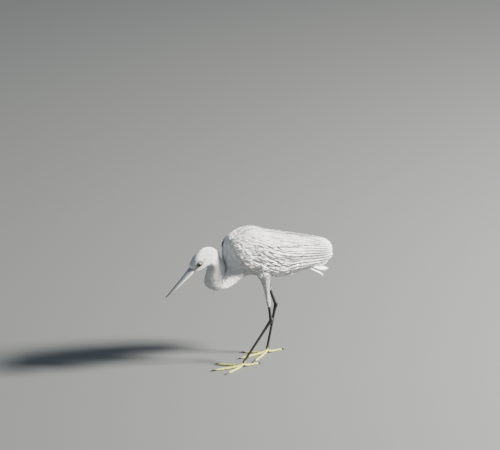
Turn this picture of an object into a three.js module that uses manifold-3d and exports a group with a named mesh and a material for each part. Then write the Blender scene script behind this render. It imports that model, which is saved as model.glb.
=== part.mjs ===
// Little egret, life size, a still model standing on level ground and leaning forward with its neck drawn in.
// Millimetres. The bird faces -X, its left side is -Y and +Z is up.
import * as THREE from "three";
import { mergeVertices } from "three/addons/utils/BufferGeometryUtils.js";
import Module from "manifold-3d";

const wasm = await Module();
wasm.setup();

// Clearance between neighbouring solids
const GAP = 0.35;

// Body: its length to the wing tips, its widest half width, and the share of its length at which the trunk ends
const BODY_LENGTH = 253;
const BODY_HALF_WIDTH = 41.5;
const TRUNK_END = 0.83;

// Head and bill, along an axis that points down and forward from the eye
const EYE = { x: -139.5, z: 242, offset: 9.9, radius: 5.5 };
const BILL_PITCH = THREE.MathUtils.degToRad(43);
const BILL_LENGTH = 83;
const BILL_BASE = 15;
const BILL_SLIT = 0.5;

// Legs: knee, end of the feathering, ankle and foot joint of each, from the side
const LEG_SPREAD = 21;
const LEGS = {
  left: { side: -1, hip: [2, 222], cuff: [15.5, 126], ankle: [20, 93], foot: [-46, 8], heading: 176 },
  right: { side: 1, hip: [10, 226], cuff: [37.5, 146], ankle: [51, 110], foot: [32, 8], heading: 186 },
};
const ANKLE_RADIUS = 4.6;
const SHANK_RADIUS = 2.9;

// Toes: heading from straight ahead towards the outside, length without claw, and radius
const TOES = {
  inner: { turn: -30, length: 48, radius: 2.7 },
  middle: { turn: 0, length: 63, radius: 2.9 },
  outer: { turn: 31, length: 53, radius: 2.7 },
  hind: { turn: 176, length: 36, radius: 2.7 },
};
const CLAW_LENGTH = 10;
const CLAW_START = 0.05;
const SOLE_DEPTH = 0.5;

// Folded wings, as shells that lie on the trunk
const WING_CLEARANCE = 0.9;
const WING_THICKNESS = 4.6;
const VANE_THICKNESS = 1.2;
const SCALLOPS = 7;
const SCALLOP_DEPTH = 0.014;
const FLIGHT_START = 0.56;

// Tail fan: half width at its root, what it spreads to each side, and how much shorter its outer feathers are
const TAIL = {
  root: [92, 215],
  slope: -25,
  length: 80,
  rootWidth: 9,
  spread: 11,
  rounding: 24,
  feathers: 12,
};

const white = new THREE.MeshStandardMaterial({ color: 0xf4f3ee, roughness: 0.85, metalness: 0 });
const billGrey = new THREE.MeshStandardMaterial({ color: 0x6f7478, roughness: 0.45, metalness: 0 });
const legBlack = new THREE.MeshStandardMaterial({ color: 0x1d1e1b, roughness: 0.5, metalness: 0 });
const toeYellow = new THREE.MeshStandardMaterial({ color: 0xb9b84a, roughness: 0.55, metalness: 0 });
const clawBlack = new THREE.MeshStandardMaterial({ color: 0x17130f, roughness: 0.4, metalness: 0 });
const eyeYellow = new THREE.MeshStandardMaterial({ color: 0xd9c84f, roughness: 0.1, metalness: 0 });

// A closed geometry as a solid whose faces point out.
function toSolid(geometry) {
  const bare = geometry.clone();
  bare.deleteAttribute("normal");
  bare.deleteAttribute("uv");
  const merged = mergeVertices(bare, 1e-3);
  const triVerts = new Uint32Array(merged.index.array);
  const make = () => {
    return new wasm.Manifold(
      new wasm.Mesh({ numProp: 3, vertProperties: merged.attributes.position.array, triVerts }),
    );
  };
  const solid = make();
  if (solid.volume() > 0) return solid;
  for (let i = 0; i < triVerts.length; i += 3) {
    [triVerts[i + 1], triVerts[i + 2]] = [triVerts[i + 2], triVerts[i + 1]];
  }
  return make();
}

// The largest single body of a solid, so that no sliver left by a cut stays with it.
function largest(solid) {
  return solid.decompose().sort((a, b) => b.volume() - a.volume())[0];
}

function toMesh(name, solid, material) {
  const cut = largest(solid).getMesh();
  const geometry = new THREE.BufferGeometry();
  geometry.setAttribute("position", new THREE.Float32BufferAttribute(cut.vertProperties, 3));
  geometry.setIndex(new THREE.BufferAttribute(cut.triVerts, 1));
  geometry.computeVertexNormals();
  const mesh = new THREE.Mesh(geometry, material);
  mesh.name = name;
  return mesh;
}

// A tube of stations [x, y, z, dorsal, ventral, half width]. Its rings are ellipses across a smooth path, with a
// dorsal and a ventral half of their own height, and its two ends close like the ends of an egg.
class Loft {
  constructor(stations, side = new THREE.Vector3(0, 1, 0)) {
    const row = (from) => stations.map((s) => new THREE.Vector3(...s.slice(from, from + 3)));
    this.path = new THREE.CatmullRomCurve3(row(0), false, "catmullrom", 0.5);
    this.sizes = new THREE.CatmullRomCurve3(row(3), false, "catmullrom", 0.5);
    this.side = side;
  }

  // The place at a share t of the path and an angle from the dorsal line, grown outwards by grow.
  at(t, angle, grow = 0, share = 1) {
    const tangent = this.path.getPoint(Math.min(t + 1e-3, 1)).sub(this.path.getPoint(Math.max(t - 1e-3, 0)));
    const up = tangent.normalize().cross(this.side).normalize();
    const size = this.sizes.getPoint(t);
    const rise = Math.cos(angle) > 0 ? size.x : size.y;
    return this.path
      .getPoint(t)
      .addScaledVector(up, (rise * share + grow) * Math.cos(angle))
      .addScaledVector(this.side, (size.z * share + grow) * Math.sin(angle));
  }

  // A closed solid from start to end of the path. round gives the share of the path over which each end closes.
  solid({ rings = 14, sides = 16, round = [0.1, 0.1], grow = 0, end = 1 } = {}) {
    const geometry = new THREE.SphereGeometry(1, sides, rings);
    const { position, uv } = geometry.attributes;
    const close = (share) => Math.sqrt(Math.max(0, 1 - Math.max(0, 1 - share) ** 2));
    for (let i = 0; i < position.count; i++) {
      const along = (1 - Math.cos(Math.PI * (1 - uv.getY(i)))) / 2;
      const share = close(along / round[0]) * close((1 - along) / round[1]);
      const place = this.at(along * end, 2 * Math.PI * uv.getX(i), grow * Math.min(1, 3 * share), share);
      const tangent = this.path.getTangent(along * end);
      place.addScaledVector(tangent, grow * (1 - share) * (along < 0.5 ? -1 : 1));
      position.setXYZ(i, place.x, place.y, place.z);
    }
    return toSolid(geometry);
  }
}

const smoothstep = THREE.MathUtils.smoothstep;
const lerp = THREE.MathUtils.lerp;
const rad = THREE.MathUtils.degToRad;

// A smooth function through evenly spaced values.
function through(values) {
  const curve = new THREE.CatmullRomCurve3(values.map((v) => new THREE.Vector3(v, 0, 0)), false, "catmullrom", 0.5);
  return (t) => curve.getPoint(THREE.MathUtils.clamp(t, 0, 1)).x;
}

// A slab from the plane through a point to far beyond it, along a direction in the XZ plane.
function halfSpace(x, z, dx, dz, far = 300) {
  const box = new THREE.BoxGeometry(far, far, far);
  box.translate(far / 2, 0, 0);
  box.rotateY(-Math.atan2(dz, dx));
  box.translate(x, 0, z);
  return toSolid(box);
}

// The body's outer form, from breast to wing tips, with no wing thickness on its sides
const body = new Loft([
  [-79, 0, 251, 27, 26, 23],
  [-57, 0, 250, 42, 42, 35],
  [-24, 0, 246, 54.5, 47.5, 40],
  [11, 0, 240, 51, 49, BODY_HALF_WIDTH],
  [46, 0, 236, 45, 54, 39.5],
  [80, 0, 233, 38, 49.5, 33],
  [113, 0, 229, 31.5, 41, 24],
  [144, 0, 223, 26, 34, 15],
  [174, 0, 216, 21, 29, 8],
]);
const trunkSolid = (grow = 0) => {
  return body.solid({ rings: 19, sides: 22, round: [0.13, 0.16], grow, end: TRUNK_END });
};

// Places in the head's own frame: forward along the bill and up across it, from the eye.
function headPlace(forward, up) {
  const c = Math.cos(BILL_PITCH);
  const s = Math.sin(BILL_PITCH);
  return [EYE.x - forward * c - up * s, 0, EYE.z - forward * s + up * c];
}

const head = new Loft([
  [...headPlace(18, -2.4), 6.6, 6.6, 6.2],
  [...headPlace(9, -1.4), 10.6, 11.8, 10.6],
  [...headPlace(-5, -1), 14.6, 17, 15.4],
  [...headPlace(-20, -3), 15, 18.2, 17.2],
  [...headPlace(-35, -8), 14, 17, 16.8],
  [...headPlace(-49, -14), 10, 12, 12],
]);
const headSolid = (grow = 0) => head.solid({ rings: 14, sides: 18, round: [0.05, 0.3], grow });

const bill = new Loft([
  [...headPlace(BILL_BASE - 8, -1.6), 8.2, 8, 6],
  [...headPlace(BILL_BASE, -2), 7.4, 7.2, 5.6],
  [...headPlace(BILL_BASE + 0.3 * BILL_LENGTH, -2.4), 5.6, 5.4, 4.4],
  [...headPlace(BILL_BASE + 0.65 * BILL_LENGTH, -2), 3.9, 3.6, 3],
  [...headPlace(BILL_BASE + BILL_LENGTH, 0), 1, 0.9, 0.9],
]);

// The neck is folded in an S. Its upper length runs from the skull down to the front bend, and its lower length
// from the front bend back to the breast.
const upperNeck = new Loft([
  [-114, 0, 253, 14, 15, 14],
  [-98, 0, 241, 17.5, 19, 16],
  [-93, 0, 223, 17.5, 23, 17],
  [-98, 0, 206, 17.5, 22, 17.5],
  [-105, 0, 192, 16.5, 18.5, 17.5],
  [-106, 0, 180, 14, 14, 15],
]);
const lowerNeck = new Loft([
  [-116, 0, 192, 13, 15, 16],
  [-98, 0, 189, 18, 16, 18],
  [-79, 0, 193, 22, 17, 21],
  [-57, 0, 205, 27, 16.5, 25],
  [-33, 0, 222, 31, 21, 30],
  [-8, 0, 233, 34, 30, 33],
]);
const upperNeckSolid = (grow = 0) => upperNeck.solid({ rings: 12, sides: 14, round: [0.25, 0.28], grow });

// A wing lies on the body between an upper and a lower edge, given as angles from the back's ridge.
const upperEdge = (t) => rad(lerp(20, 4, t));
const lowerEdgeDegrees = through([96, 108, 121, 130, 134, 135, 136, 138, 140]);
const rearReach = through([0.93, 0.965, 0.985, 0.998, 1, 0.992, 0.975, 0.95]);

// A shell over a share of the wing's length, made from a box whose two large faces are its inside and outside.
// pad makes it larger all round, for cutting its neighbours back.
function wingShell(side, from, to, { steps, rows, pad = 0, scalloped = false }) {
  const geometry = new THREE.BoxGeometry(1, 1, 1, steps, rows, 1);
  const { position } = geometry.attributes;
  for (let i = 0; i < position.count; i++) {
    const u = lerp(from, to, position.getX(i) + 0.5);
    const v = position.getY(i) + 0.5;
    const outside = position.getZ(i) > 0;
    const nose = 0.05 + 0.05 * (2 * v - 0.9) ** 2;
    const teeth = scalloped ? SCALLOP_DEPTH * Math.abs(Math.sin(SCALLOPS * Math.PI * v)) * u ** 6 : 0;
    const t = Math.min(1, lerp(nose, rearReach(v) - SCALLOP_DEPTH, u) + teeth);
    const widen = pad / BODY_HALF_WIDTH;
    const angle = lerp(upperEdge(t) - widen, rad(lowerEdgeDegrees(t)) + widen, v);
    const swell = Math.sin(Math.PI * Math.min(1, Math.max(0, v))) ** 0.6 * smoothstep(u, 0, 0.12) * (1 - 0.72 * u);
    const thickness = VANE_THICKNESS + (WING_THICKNESS - VANE_THICKNESS) * swell;
    const grow = outside ? WING_CLEARANCE + thickness + pad : WING_CLEARANCE - pad;
    const place = body.at(t, side * angle, grow);
    position.setXYZ(i, place.x, place.y, place.z);
  }
  return toSolid(geometry);
}

const wingParts = {};
for (const [name, side] of [["left", -1], ["right", 1]]) {
  const cut = GAP / BODY_LENGTH;
  const covert = (pad) => {
    return wingShell(side, -pad / BODY_LENGTH, FLIGHT_START - cut, { steps: 11, rows: 7, pad });
  };
  const flight = (pad) => {
    return wingShell(side, FLIGHT_START + cut, 1, { steps: 6, rows: 2 * SCALLOPS, pad, scalloped: true });
  };
  wingParts[name] = { covert: covert(0), flight: flight(0), keepOut: covert(GAP).add(flight(GAP)) };
}
const wingKeepOut = wingParts.left.keepOut.add(wingParts.right.keepOut);

// The tail is one fan of feathers, longest in the middle and notched at its end.
function tailSolid() {
  const geometry = new THREE.BoxGeometry(1, 1, 1, 4, 2 * TAIL.feathers, 1);
  const { position } = geometry.attributes;
  const slope = rad(TAIL.slope);
  for (let i = 0; i < position.count; i++) {
    const u = position.getX(i) + 0.5;
    const across = 2 * position.getY(i);
    const notch = 3 * Math.abs(Math.sin(TAIL.feathers * Math.PI * (position.getY(i) + 0.5))) * u ** 4;
    const reach = u * (TAIL.length - TAIL.rounding * across ** 2 + notch);
    const width = TAIL.rootWidth + TAIL.spread * u;
    const arch = -7 * across ** 2 * (0.4 + 0.6 * u);
    const lift = (position.getZ(i) > 0 ? 1 : -1) * lerp(3.5, 0.6, Math.min(1, 1.4 * u)) + arch;
    const x = TAIL.root[0] + reach * Math.cos(slope) - lift * Math.sin(slope);
    const z = TAIL.root[1] + reach * Math.sin(slope) + lift * Math.cos(slope);
    position.setXYZ(i, x, across * width, z);
  }
  return toSolid(geometry);
}

// Feathered thigh, from inside the trunk to the cuff
function thighSolid(leg, grow = 0) {
  const [hx, hz] = leg.hip;
  const [cx, cz] = leg.cuff;
  const y = leg.side * LEG_SPREAD;
  const length = Math.hypot(cx - hx, cz - hz);
  const row = (above, radius) => {
    const share = above / length;
    return [lerp(cx, hx, share), y, lerp(cz, hz, share), radius * 1.1, radius * 1.1, radius];
  };
  const thigh = new Loft([row(98, 15), row(76, 13), row(56, 7.8), row(34, 5), row(12, 4.2), row(0, 3.7)]);
  return thigh.solid({ rings: 11, sides: 14, round: [0.2, 0.05], grow });
}

// Bare shank, ankle and tarsus as one bent tube, which a thin cut parts at the ankle
function shankSolid(leg, grow = 0) {
  const y = leg.side * LEG_SPREAD;
  const footY = y * 1.12;
  const [cx, cz] = leg.cuff;
  const [ax, az] = leg.ankle;
  const [fx, fz] = leg.foot;
  const upper = (s, r) => [lerp(cx, ax, s), y, lerp(cz, az, s), r, r, r * 0.92];
  const lower = (s, r) => [lerp(ax, fx, s), lerp(y, footY, s), lerp(az, fz, s), r, r, r * 0.86];
  const tube = new Loft([
    upper(-0.25, SHANK_RADIUS),
    upper(0.3, SHANK_RADIUS),
    upper(0.8, SHANK_RADIUS * 1.15),
    [ax + 0.6, y, az, ANKLE_RADIUS, ANKLE_RADIUS, ANKLE_RADIUS * 0.92],
    lower(0.13, SHANK_RADIUS * 1.15),
    lower(0.5, SHANK_RADIUS * 0.92),
    lower(0.86, SHANK_RADIUS),
    lower(1, SHANK_RADIUS * 1.25),
  ]);
  return tube.solid({ rings: 17, sides: 8, round: [0.03, 0.05], grow });
}

// A toe from the foot joint to the ground and along it, with a swelling at each joint and a flat sole
function toeLoft(leg, toe) {
  const heading = rad(leg.heading + leg.side * toe.turn);
  const ahead = new THREE.Vector3(Math.cos(heading), Math.sin(heading), 0);
  const across = new THREE.Vector3(0, 0, 1).cross(ahead);
  const start = new THREE.Vector3(leg.foot[0], leg.side * LEG_SPREAD * 1.12, 0);
  const row = (share, height, radius) => {
    const place = start.clone().addScaledVector(ahead, share * toe.length);
    return [place.x, place.y, height, radius, radius, radius];
  };
  const r = toe.radius;
  const flat = r - SOLE_DEPTH;
  return new Loft(
    [
      row(0, leg.foot[1] - 1, r * 0.95),
      row(0.16, flat + 1.4, r * 0.95),
      row(0.34, flat, r * 1.02),
      row(0.55, flat * 0.92, r * 0.9),
      row(0.78, flat * 0.9, r * 0.9),
      row(1, flat * 0.78, r * 0.72),
    ],
    across,
  );
}

function clawLoft(leg, toe) {
  const heading = rad(leg.heading + leg.side * toe.turn);
  const ahead = new THREE.Vector3(Math.cos(heading), Math.sin(heading), 0);
  const across = new THREE.Vector3(0, 0, 1).cross(ahead);
  const start = new THREE.Vector3(leg.foot[0], leg.side * LEG_SPREAD * 1.12, 0);
  const row = (beyond, height, radius) => {
    const place = start.clone().addScaledVector(ahead, toe.length + beyond * CLAW_LENGTH);
    return [place.x, place.y, height, radius, radius, radius * 0.8];
  };
  return new Loft([row(CLAW_START, 2.2, 1.1), row(0.3, 2.7, 1.4), row(0.65, 2.3, 0.95), row(1, 0.9, 0.4)], across);
}

const egret = new THREE.Group();
const add = (name, solid, material) => egret.add(toMesh(name, solid, material));

// Head, eyes and bill
const eyes = [-1, 1].map((side) => {
  return (grow) => {
    const ball = new THREE.SphereGeometry(EYE.radius + grow, 12, 9);
    ball.translate(EYE.x, side * EYE.offset, EYE.z);
    return toSolid(ball);
  };
});
add("head", headSolid().subtract(eyes[0](GAP)).subtract(eyes[1](GAP)), white);
add("eye_left", eyes[0](0), eyeYellow);
add("eye_right", eyes[1](0), eyeYellow);

const billSolid = bill.solid({ rings: 11, sides: 12, round: [0.02, 0.03] }).subtract(headSolid(GAP));
const [slitX, , slitZ] = headPlace(0, -2.2);
const [upX, , upZ] = headPlace(0, -1.2);
const [rise, run] = [upZ - slitZ, upX - slitX];
const slit = BILL_SLIT / 2;
add("bill_upper", billSolid.intersect(halfSpace(slitX + slit * run, slitZ + slit * rise, run, rise)), billGrey);
add("bill_lower", billSolid.intersect(halfSpace(slitX - slit * run, slitZ - slit * rise, -run, -rise)), billGrey);

// Neck, in three lengths
const BEND = [-95, 222];
const neckTube = upperNeckSolid().subtract(headSolid(GAP)).subtract(trunkSolid(GAP));
add("neck_upper", neckTube.intersect(halfSpace(BEND[0], BEND[1] + GAP / 2, 0, 1)), white);
add("neck_middle", neckTube.intersect(halfSpace(BEND[0], BEND[1] - GAP / 2, 0, -1)), white);
const lowerTube = lowerNeck.solid({ rings: 12, sides: 16, round: [0.22, 0.1] });
const neckBase = lowerTube.subtract(upperNeckSolid(GAP)).subtract(trunkSolid(GAP)).subtract(wingKeepOut);
add("neck_lower", neckBase, white);

// Trunk, wings and tail
add("trunk", trunkSolid(), white);
for (const name of ["left", "right"]) {
  add("wing_" + name, wingParts[name].covert, white);
  add("flight_feathers_" + name, wingParts[name].flight, white);
}
add("tail", tailSolid().subtract(trunkSolid(GAP)).subtract(wingKeepOut), white);

// Legs, feet and claws. All soles are cut flat at the ground.
const ground = toSolid(new THREE.BoxGeometry(900, 900, 100).translate(0, 0, 50));
for (const [name, leg] of Object.entries(LEGS)) {
  const thigh = thighSolid(leg).subtract(trunkSolid(GAP)).subtract(wingKeepOut);
  add("thigh_" + name, thigh, white);
  const shank = shankSolid(leg);
  const bare = shank.subtract(thighSolid(leg, GAP));
  const [ax, az] = leg.ankle;
  const turn = new THREE.Vector2(leg.cuff[0] - ax, leg.cuff[1] - az).normalize();
  turn.sub(new THREE.Vector2(leg.foot[0] - ax, leg.foot[1] - az).normalize()).normalize();
  const cut = GAP / 2;
  add("shank_" + name, bare.intersect(halfSpace(ax + cut * turn.x, az + cut * turn.y, turn.x, turn.y)), legBlack);
  const tarsus = bare.intersect(halfSpace(ax - cut * turn.x, az - cut * turn.y, -turn.x, -turn.y));

  let taken = null;
  for (const [toeName, toe] of Object.entries(TOES)) {
    const tube = (grow) => toeLoft(leg, toe).solid({ rings: 10, sides: 8, round: [0.06, 0.08], grow });
    const claw = clawLoft(leg, toe).solid({ rings: 7, sides: 6, round: [0.1, 0.05] });
    let flesh = tube(0).intersect(ground);
    flesh = flesh.subtract(shankSolid(leg, GAP));
    if (taken) flesh = flesh.subtract(taken);
    taken = taken ? taken.add(tube(GAP)) : tube(GAP);
    add("toe_" + toeName + "_" + name, flesh, toeYellow);
    add("claw_" + toeName + "_" + name, claw, clawBlack);
  }
  add("tarsus_" + name, tarsus, legBlack);
}

// The frame's origin is the bottom centre of the whole bird's box.
egret.updateMatrixWorld(true);
const box = new THREE.Box3().setFromObject(egret);
egret.position.set(-(box.min.x + box.max.x) / 2, -(box.min.y + box.max.y) / 2, -box.min.z);

const model = new THREE.Group();
model.add(egret);
export default model;
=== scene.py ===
# %% [markdown]
# This bird is a little egret, plain white, standing in a stride with its neck drawn in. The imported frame
# gives its real size and place. Everything that shows is made here: one skin, the feathers on it, the bill,
# eyes, legs and claws.

# %% Load the frame
import bpy
import numpy as np
from mathutils import Matrix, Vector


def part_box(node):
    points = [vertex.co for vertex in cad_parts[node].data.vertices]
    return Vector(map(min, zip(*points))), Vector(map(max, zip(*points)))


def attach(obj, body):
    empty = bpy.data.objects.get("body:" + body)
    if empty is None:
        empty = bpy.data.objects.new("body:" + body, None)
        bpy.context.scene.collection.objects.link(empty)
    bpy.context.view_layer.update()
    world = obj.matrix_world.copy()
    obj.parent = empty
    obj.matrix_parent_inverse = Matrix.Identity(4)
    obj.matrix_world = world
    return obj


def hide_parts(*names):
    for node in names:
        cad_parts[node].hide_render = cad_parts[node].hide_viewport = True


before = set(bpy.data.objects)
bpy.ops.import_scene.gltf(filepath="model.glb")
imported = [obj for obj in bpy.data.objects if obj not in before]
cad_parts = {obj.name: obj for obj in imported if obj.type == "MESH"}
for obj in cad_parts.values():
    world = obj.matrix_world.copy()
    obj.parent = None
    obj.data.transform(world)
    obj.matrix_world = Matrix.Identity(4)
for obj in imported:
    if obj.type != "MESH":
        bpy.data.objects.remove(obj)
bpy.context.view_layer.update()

MM = 0.001
rng = np.random.default_rng(11)
print("frame holds", len(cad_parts), "nodes")

# %% [markdown]
# Sizes are in millimetres in the bird's own coordinates: it faces -X, its left side is -Y and +Z is up. The
# frame may sit elsewhere, so the left eye's box gives the shift between the two.

# %% Driving sizes
EYE = np.array([-139.5, 0.0, 242.0])
EYE_OFFSET = 9.9
EYE_RADIUS = 5.5
BILL_PITCH = np.radians(43)
BILL_LENGTH = 83.0
BILL_BASE = 15.0
BODY_LENGTH = 253.0
SIDES = {"left": -1, "right": 1}
UP = np.array([0.0, 0.0, 1.0])
ACROSS = np.array([0.0, 1.0, 0.0])
eye_box = np.array([list(corner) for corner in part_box("eye_left")])
SHIFT = eye_box.mean(0) / MM - (EYE - EYE_OFFSET * ACROSS)
print("shift of the frame, mm", SHIFT.round(2))


def smoothstep(x, low=0.0, high=1.0):
    """3s^2 - 2s^3, where s is the share of the way from low to high, kept between 0 and 1."""
    s = np.clip((x - low) / (high - low), 0, 1)
    return s * s * (3 - 2 * s)


def unit(v):
    """Each vector divided by its length."""
    return v / np.maximum(np.linalg.norm(v, axis=-1, keepdims=True), 1e-9)


def dot(a, b):
    """The sum of products over the last axis, which stays as an axis of one."""
    return (a * b).sum(-1, keepdims=True)


# %% [markdown]
# A camera far off with a long lens sees the bird as the picture does: from its left, a little from the
# front, and from 20 degrees above. The bird's origin, on the floor, falls on a known pixel, which fixes the
# camera's target.

# %% Camera
AZIMUTH, ELEVATION = np.radians(-25), np.radians(20)
DISTANCE = 5500.0
MM_PER_PIXEL = 2.12
ORIGIN_PIXEL = (258.0, 359.3)
FRAME_PIXELS = (500, 450)
SENSOR = 36.0
level_back = np.array([np.sin(AZIMUTH), -np.cos(AZIMUTH), 0.0])
back = level_back * np.cos(ELEVATION) + UP * np.sin(ELEVATION)
right = np.array([np.cos(AZIMUTH), np.sin(AZIMUTH), 0.0])
above = np.cross(back, right)
target = right * (FRAME_PIXELS[0] / 2 - ORIGIN_PIXEL[0]) * MM_PER_PIXEL
target = target + above * (ORIGIN_PIXEL[1] - FRAME_PIXELS[1] / 2) * MM_PER_PIXEL

lens = bpy.data.cameras.new("camera")
lens.sensor_width = SENSOR
lens.lens = SENSOR * DISTANCE / (FRAME_PIXELS[0] * MM_PER_PIXEL)
camera = bpy.data.objects.new("camera", lens)
bpy.context.scene.collection.objects.link(camera)
camera.matrix_world = Matrix(np.stack([right, above, back], 1)).to_4x4()
camera.location = (target + DISTANCE * back + SHIFT) * MM
bpy.context.scene.camera = camera
print("lens", round(lens.lens, 1), "mm")

# %% [markdown]
# The floor is one plain disc, whose grey paint looks pale under the light. One lamp high behind the tail,
# on the camera's side, lights the wing and leaves the breast and the drawn-in neck in shade, as in the
# picture. A weak cool lamp and a pale blue sky fill the shade. A short function makes each kind of shader
# node that the finishes share.


# %% Floor and lights
def lamp(name, position, size, power, colour):
    """A square area lamp, in metres and watts, that looks at the bird's middle."""
    data = bpy.data.lights.new(name, "AREA")
    data.size, data.energy, data.color = size, power, colour
    obj = bpy.data.objects.new(name, data)
    bpy.context.scene.collection.objects.link(obj)
    middle = np.array([0.0, 0.0, 0.2])
    away = unit(np.array(position) - middle)
    side = unit(np.cross(UP, away))
    obj.matrix_world = Matrix(np.stack([side, np.cross(away, side), away], 1)).to_4x4()
    obj.location = position
    return obj


def shader(name, roughness, colour=(0.8, 0.8, 0.8), **sockets):
    """A material with its Principled shader. sockets are even values set on the shader's own inputs."""
    made = bpy.data.materials.new(name)
    made.use_nodes = True
    principled = made.node_tree.nodes["Principled BSDF"]
    principled.inputs["Roughness"].default_value = roughness
    principled.inputs["Base Color"].default_value = (*colour, 1)
    for key, value in sockets.items():
        principled.inputs[key.replace("_", " ")].default_value = value
    return made, principled


def node(material, kind, inputs=None, **settings):
    """A new node with its settings, and with values or other nodes' outputs on its named inputs."""
    made = material.node_tree.nodes.new(kind)
    for key, value in settings.items():
        setattr(made, key, value)
    for key, value in (inputs or {}).items():
        socket = made.inputs[key]
        if isinstance(value, bpy.types.NodeSocket):
            material.node_tree.links.new(value, socket)
        else:
            socket.default_value = value
    return made


def wire(material, output, socket):
    """Links an output to a socket."""
    material.node_tree.links.new(output, socket)


def attribute(material, name):
    """A number that each vertex carries."""
    return node(material, "ShaderNodeAttribute", attribute_name=name).outputs["Fac"]


def object_place(material):
    """Places in metres from the frame's origin, because every piece has its object there."""
    return node(material, "ShaderNodeTexCoord").outputs["Object"]


def noise(material, vector, scale, detail):
    """Cloudy noise between 0 and 1, with scale waves to each unit of the vector."""
    inputs = {"Vector": vector, "Scale": scale, "Detail": detail}
    return node(material, "ShaderNodeTexNoise", inputs).outputs["Fac"]


def cell_edges(material, vector, scale):
    """The distance to the nearest border of a mosaic of cells."""
    inputs = {"Vector": vector, "Scale": scale}
    return node(material, "ShaderNodeTexVoronoi", inputs, feature="DISTANCE_TO_EDGE").outputs["Distance"]


def reckon(material, operation, *values):
    """One sum of a Math node, over numbers and outputs."""
    return node(material, "ShaderNodeMath", dict(enumerate(values)), operation=operation).outputs[0]


def spanned(material, value, low, high, **inputs):
    """A value's share of the way from low to high, or from To Min to To Max where those are given."""
    named = {key.replace("_", " "): number for key, number in inputs.items()}
    values = {"Value": value, "From Min": low, "From Max": high, **named}
    return node(material, "ShaderNodeMapRange", values).outputs["Result"]


def mix(material, share, first, second, blend="MIX"):
    """Two colours mixed by a share."""
    inputs = {0: share, 6: first, 7: second}
    return node(material, "ShaderNodeMix", inputs, data_type="RGBA", blend_type=blend).outputs[2]


def bump(material, principled, height, strength, distance):
    """Relief for the shader, whose height of 1 is a distance in metres."""
    relief = node(material, "ShaderNodeBump", {"Height": height, "Strength": strength, "Distance": distance})
    wire(material, relief.outputs["Normal"], principled.inputs["Normal"])


def ramp(material, factor, stops):
    """A colour ramp: stops are (share, colour)."""
    made = node(material, "ShaderNodeValToRGB", {"Fac": factor})
    elements = made.color_ramp.elements
    while len(elements) < len(stops):
        elements.new(0.5)
    for element, (share, colour) in zip(elements, stops):
        element.position = share
        element.color = (*colour, 1)
    return made.outputs["Color"]


FLOOR_RADIUS, FLOOR_CORNERS = 30.0, 96
turn = np.linspace(0, 2 * np.pi, FLOOR_CORNERS, endpoint=False)
rim = np.stack([FLOOR_RADIUS * np.cos(turn), FLOOR_RADIUS * np.sin(turn), 0 * turn], 1)
floor_mesh = bpy.data.meshes.new("floor")
floor_mesh.from_pydata(rim.tolist(), [], [list(range(FLOOR_CORNERS))])
floor = bpy.data.objects.new("floor", floor_mesh)
bpy.context.scene.collection.objects.link(floor)
floor_paint, _ = shader("floor_paint", 0.9, (0.1, 0.104, 0.1))
floor_mesh.materials.append(floor_paint)

world = bpy.data.worlds.new("studio")
world.use_nodes = True
sky = world.node_tree.nodes["Background"]
sky.inputs["Color"].default_value = (0.7, 0.82, 1.0, 1)
sky.inputs["Strength"].default_value = 0.45
bpy.context.scene.world = world
lamp("key", position=(2.95, -1.45, 2.15), size=0.6, power=1150, colour=(1.0, 0.97, 0.92))
lamp("fill", position=(-2.2, -1.6, 1.4), size=1.6, power=16, colour=(0.82, 0.9, 1.0))

# %% [markdown]
# The body is built from lofts: elliptic rings carried along a smooth path, with a height of their own above
# and below it. The CAD is made of such rings too, and the skin here is nearly the same form, taken in by the
# coat's depth.


# %% Lofts
PATH_SAMPLES = 161
LOFT_MARGIN = 14.0
THINNEST = 0.5


def spline(points, t):
    """Uniform Catmull-Rom curve through the points, at shares t from 0 to 1. Each end is carried on in a
    straight line, and between two points the curve is the cubic whose slope at each is half the way between
    its neighbours."""
    held = np.vstack([2 * points[0] - points[1], points, 2 * points[-1] - points[-2]])
    spans = len(points) - 1
    s = np.clip(t, 0, 1) * spans
    i = np.minimum(s.astype(int), spans - 1)
    u = (s - i)[..., None]
    a, b, c, d = held[i], held[i + 1], held[i + 2], held[i + 3]
    return 0.5 * (2 * b + (c - a) * u + (2 * a - 5 * b + 4 * c - d) * u**2 + (3 * b - a - 3 * c + d) * u**3)


def through(values, t):
    """A smooth function through evenly spaced values."""
    return spline(np.array(values, float)[:, None], np.asarray(t, float))[..., 0]


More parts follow.
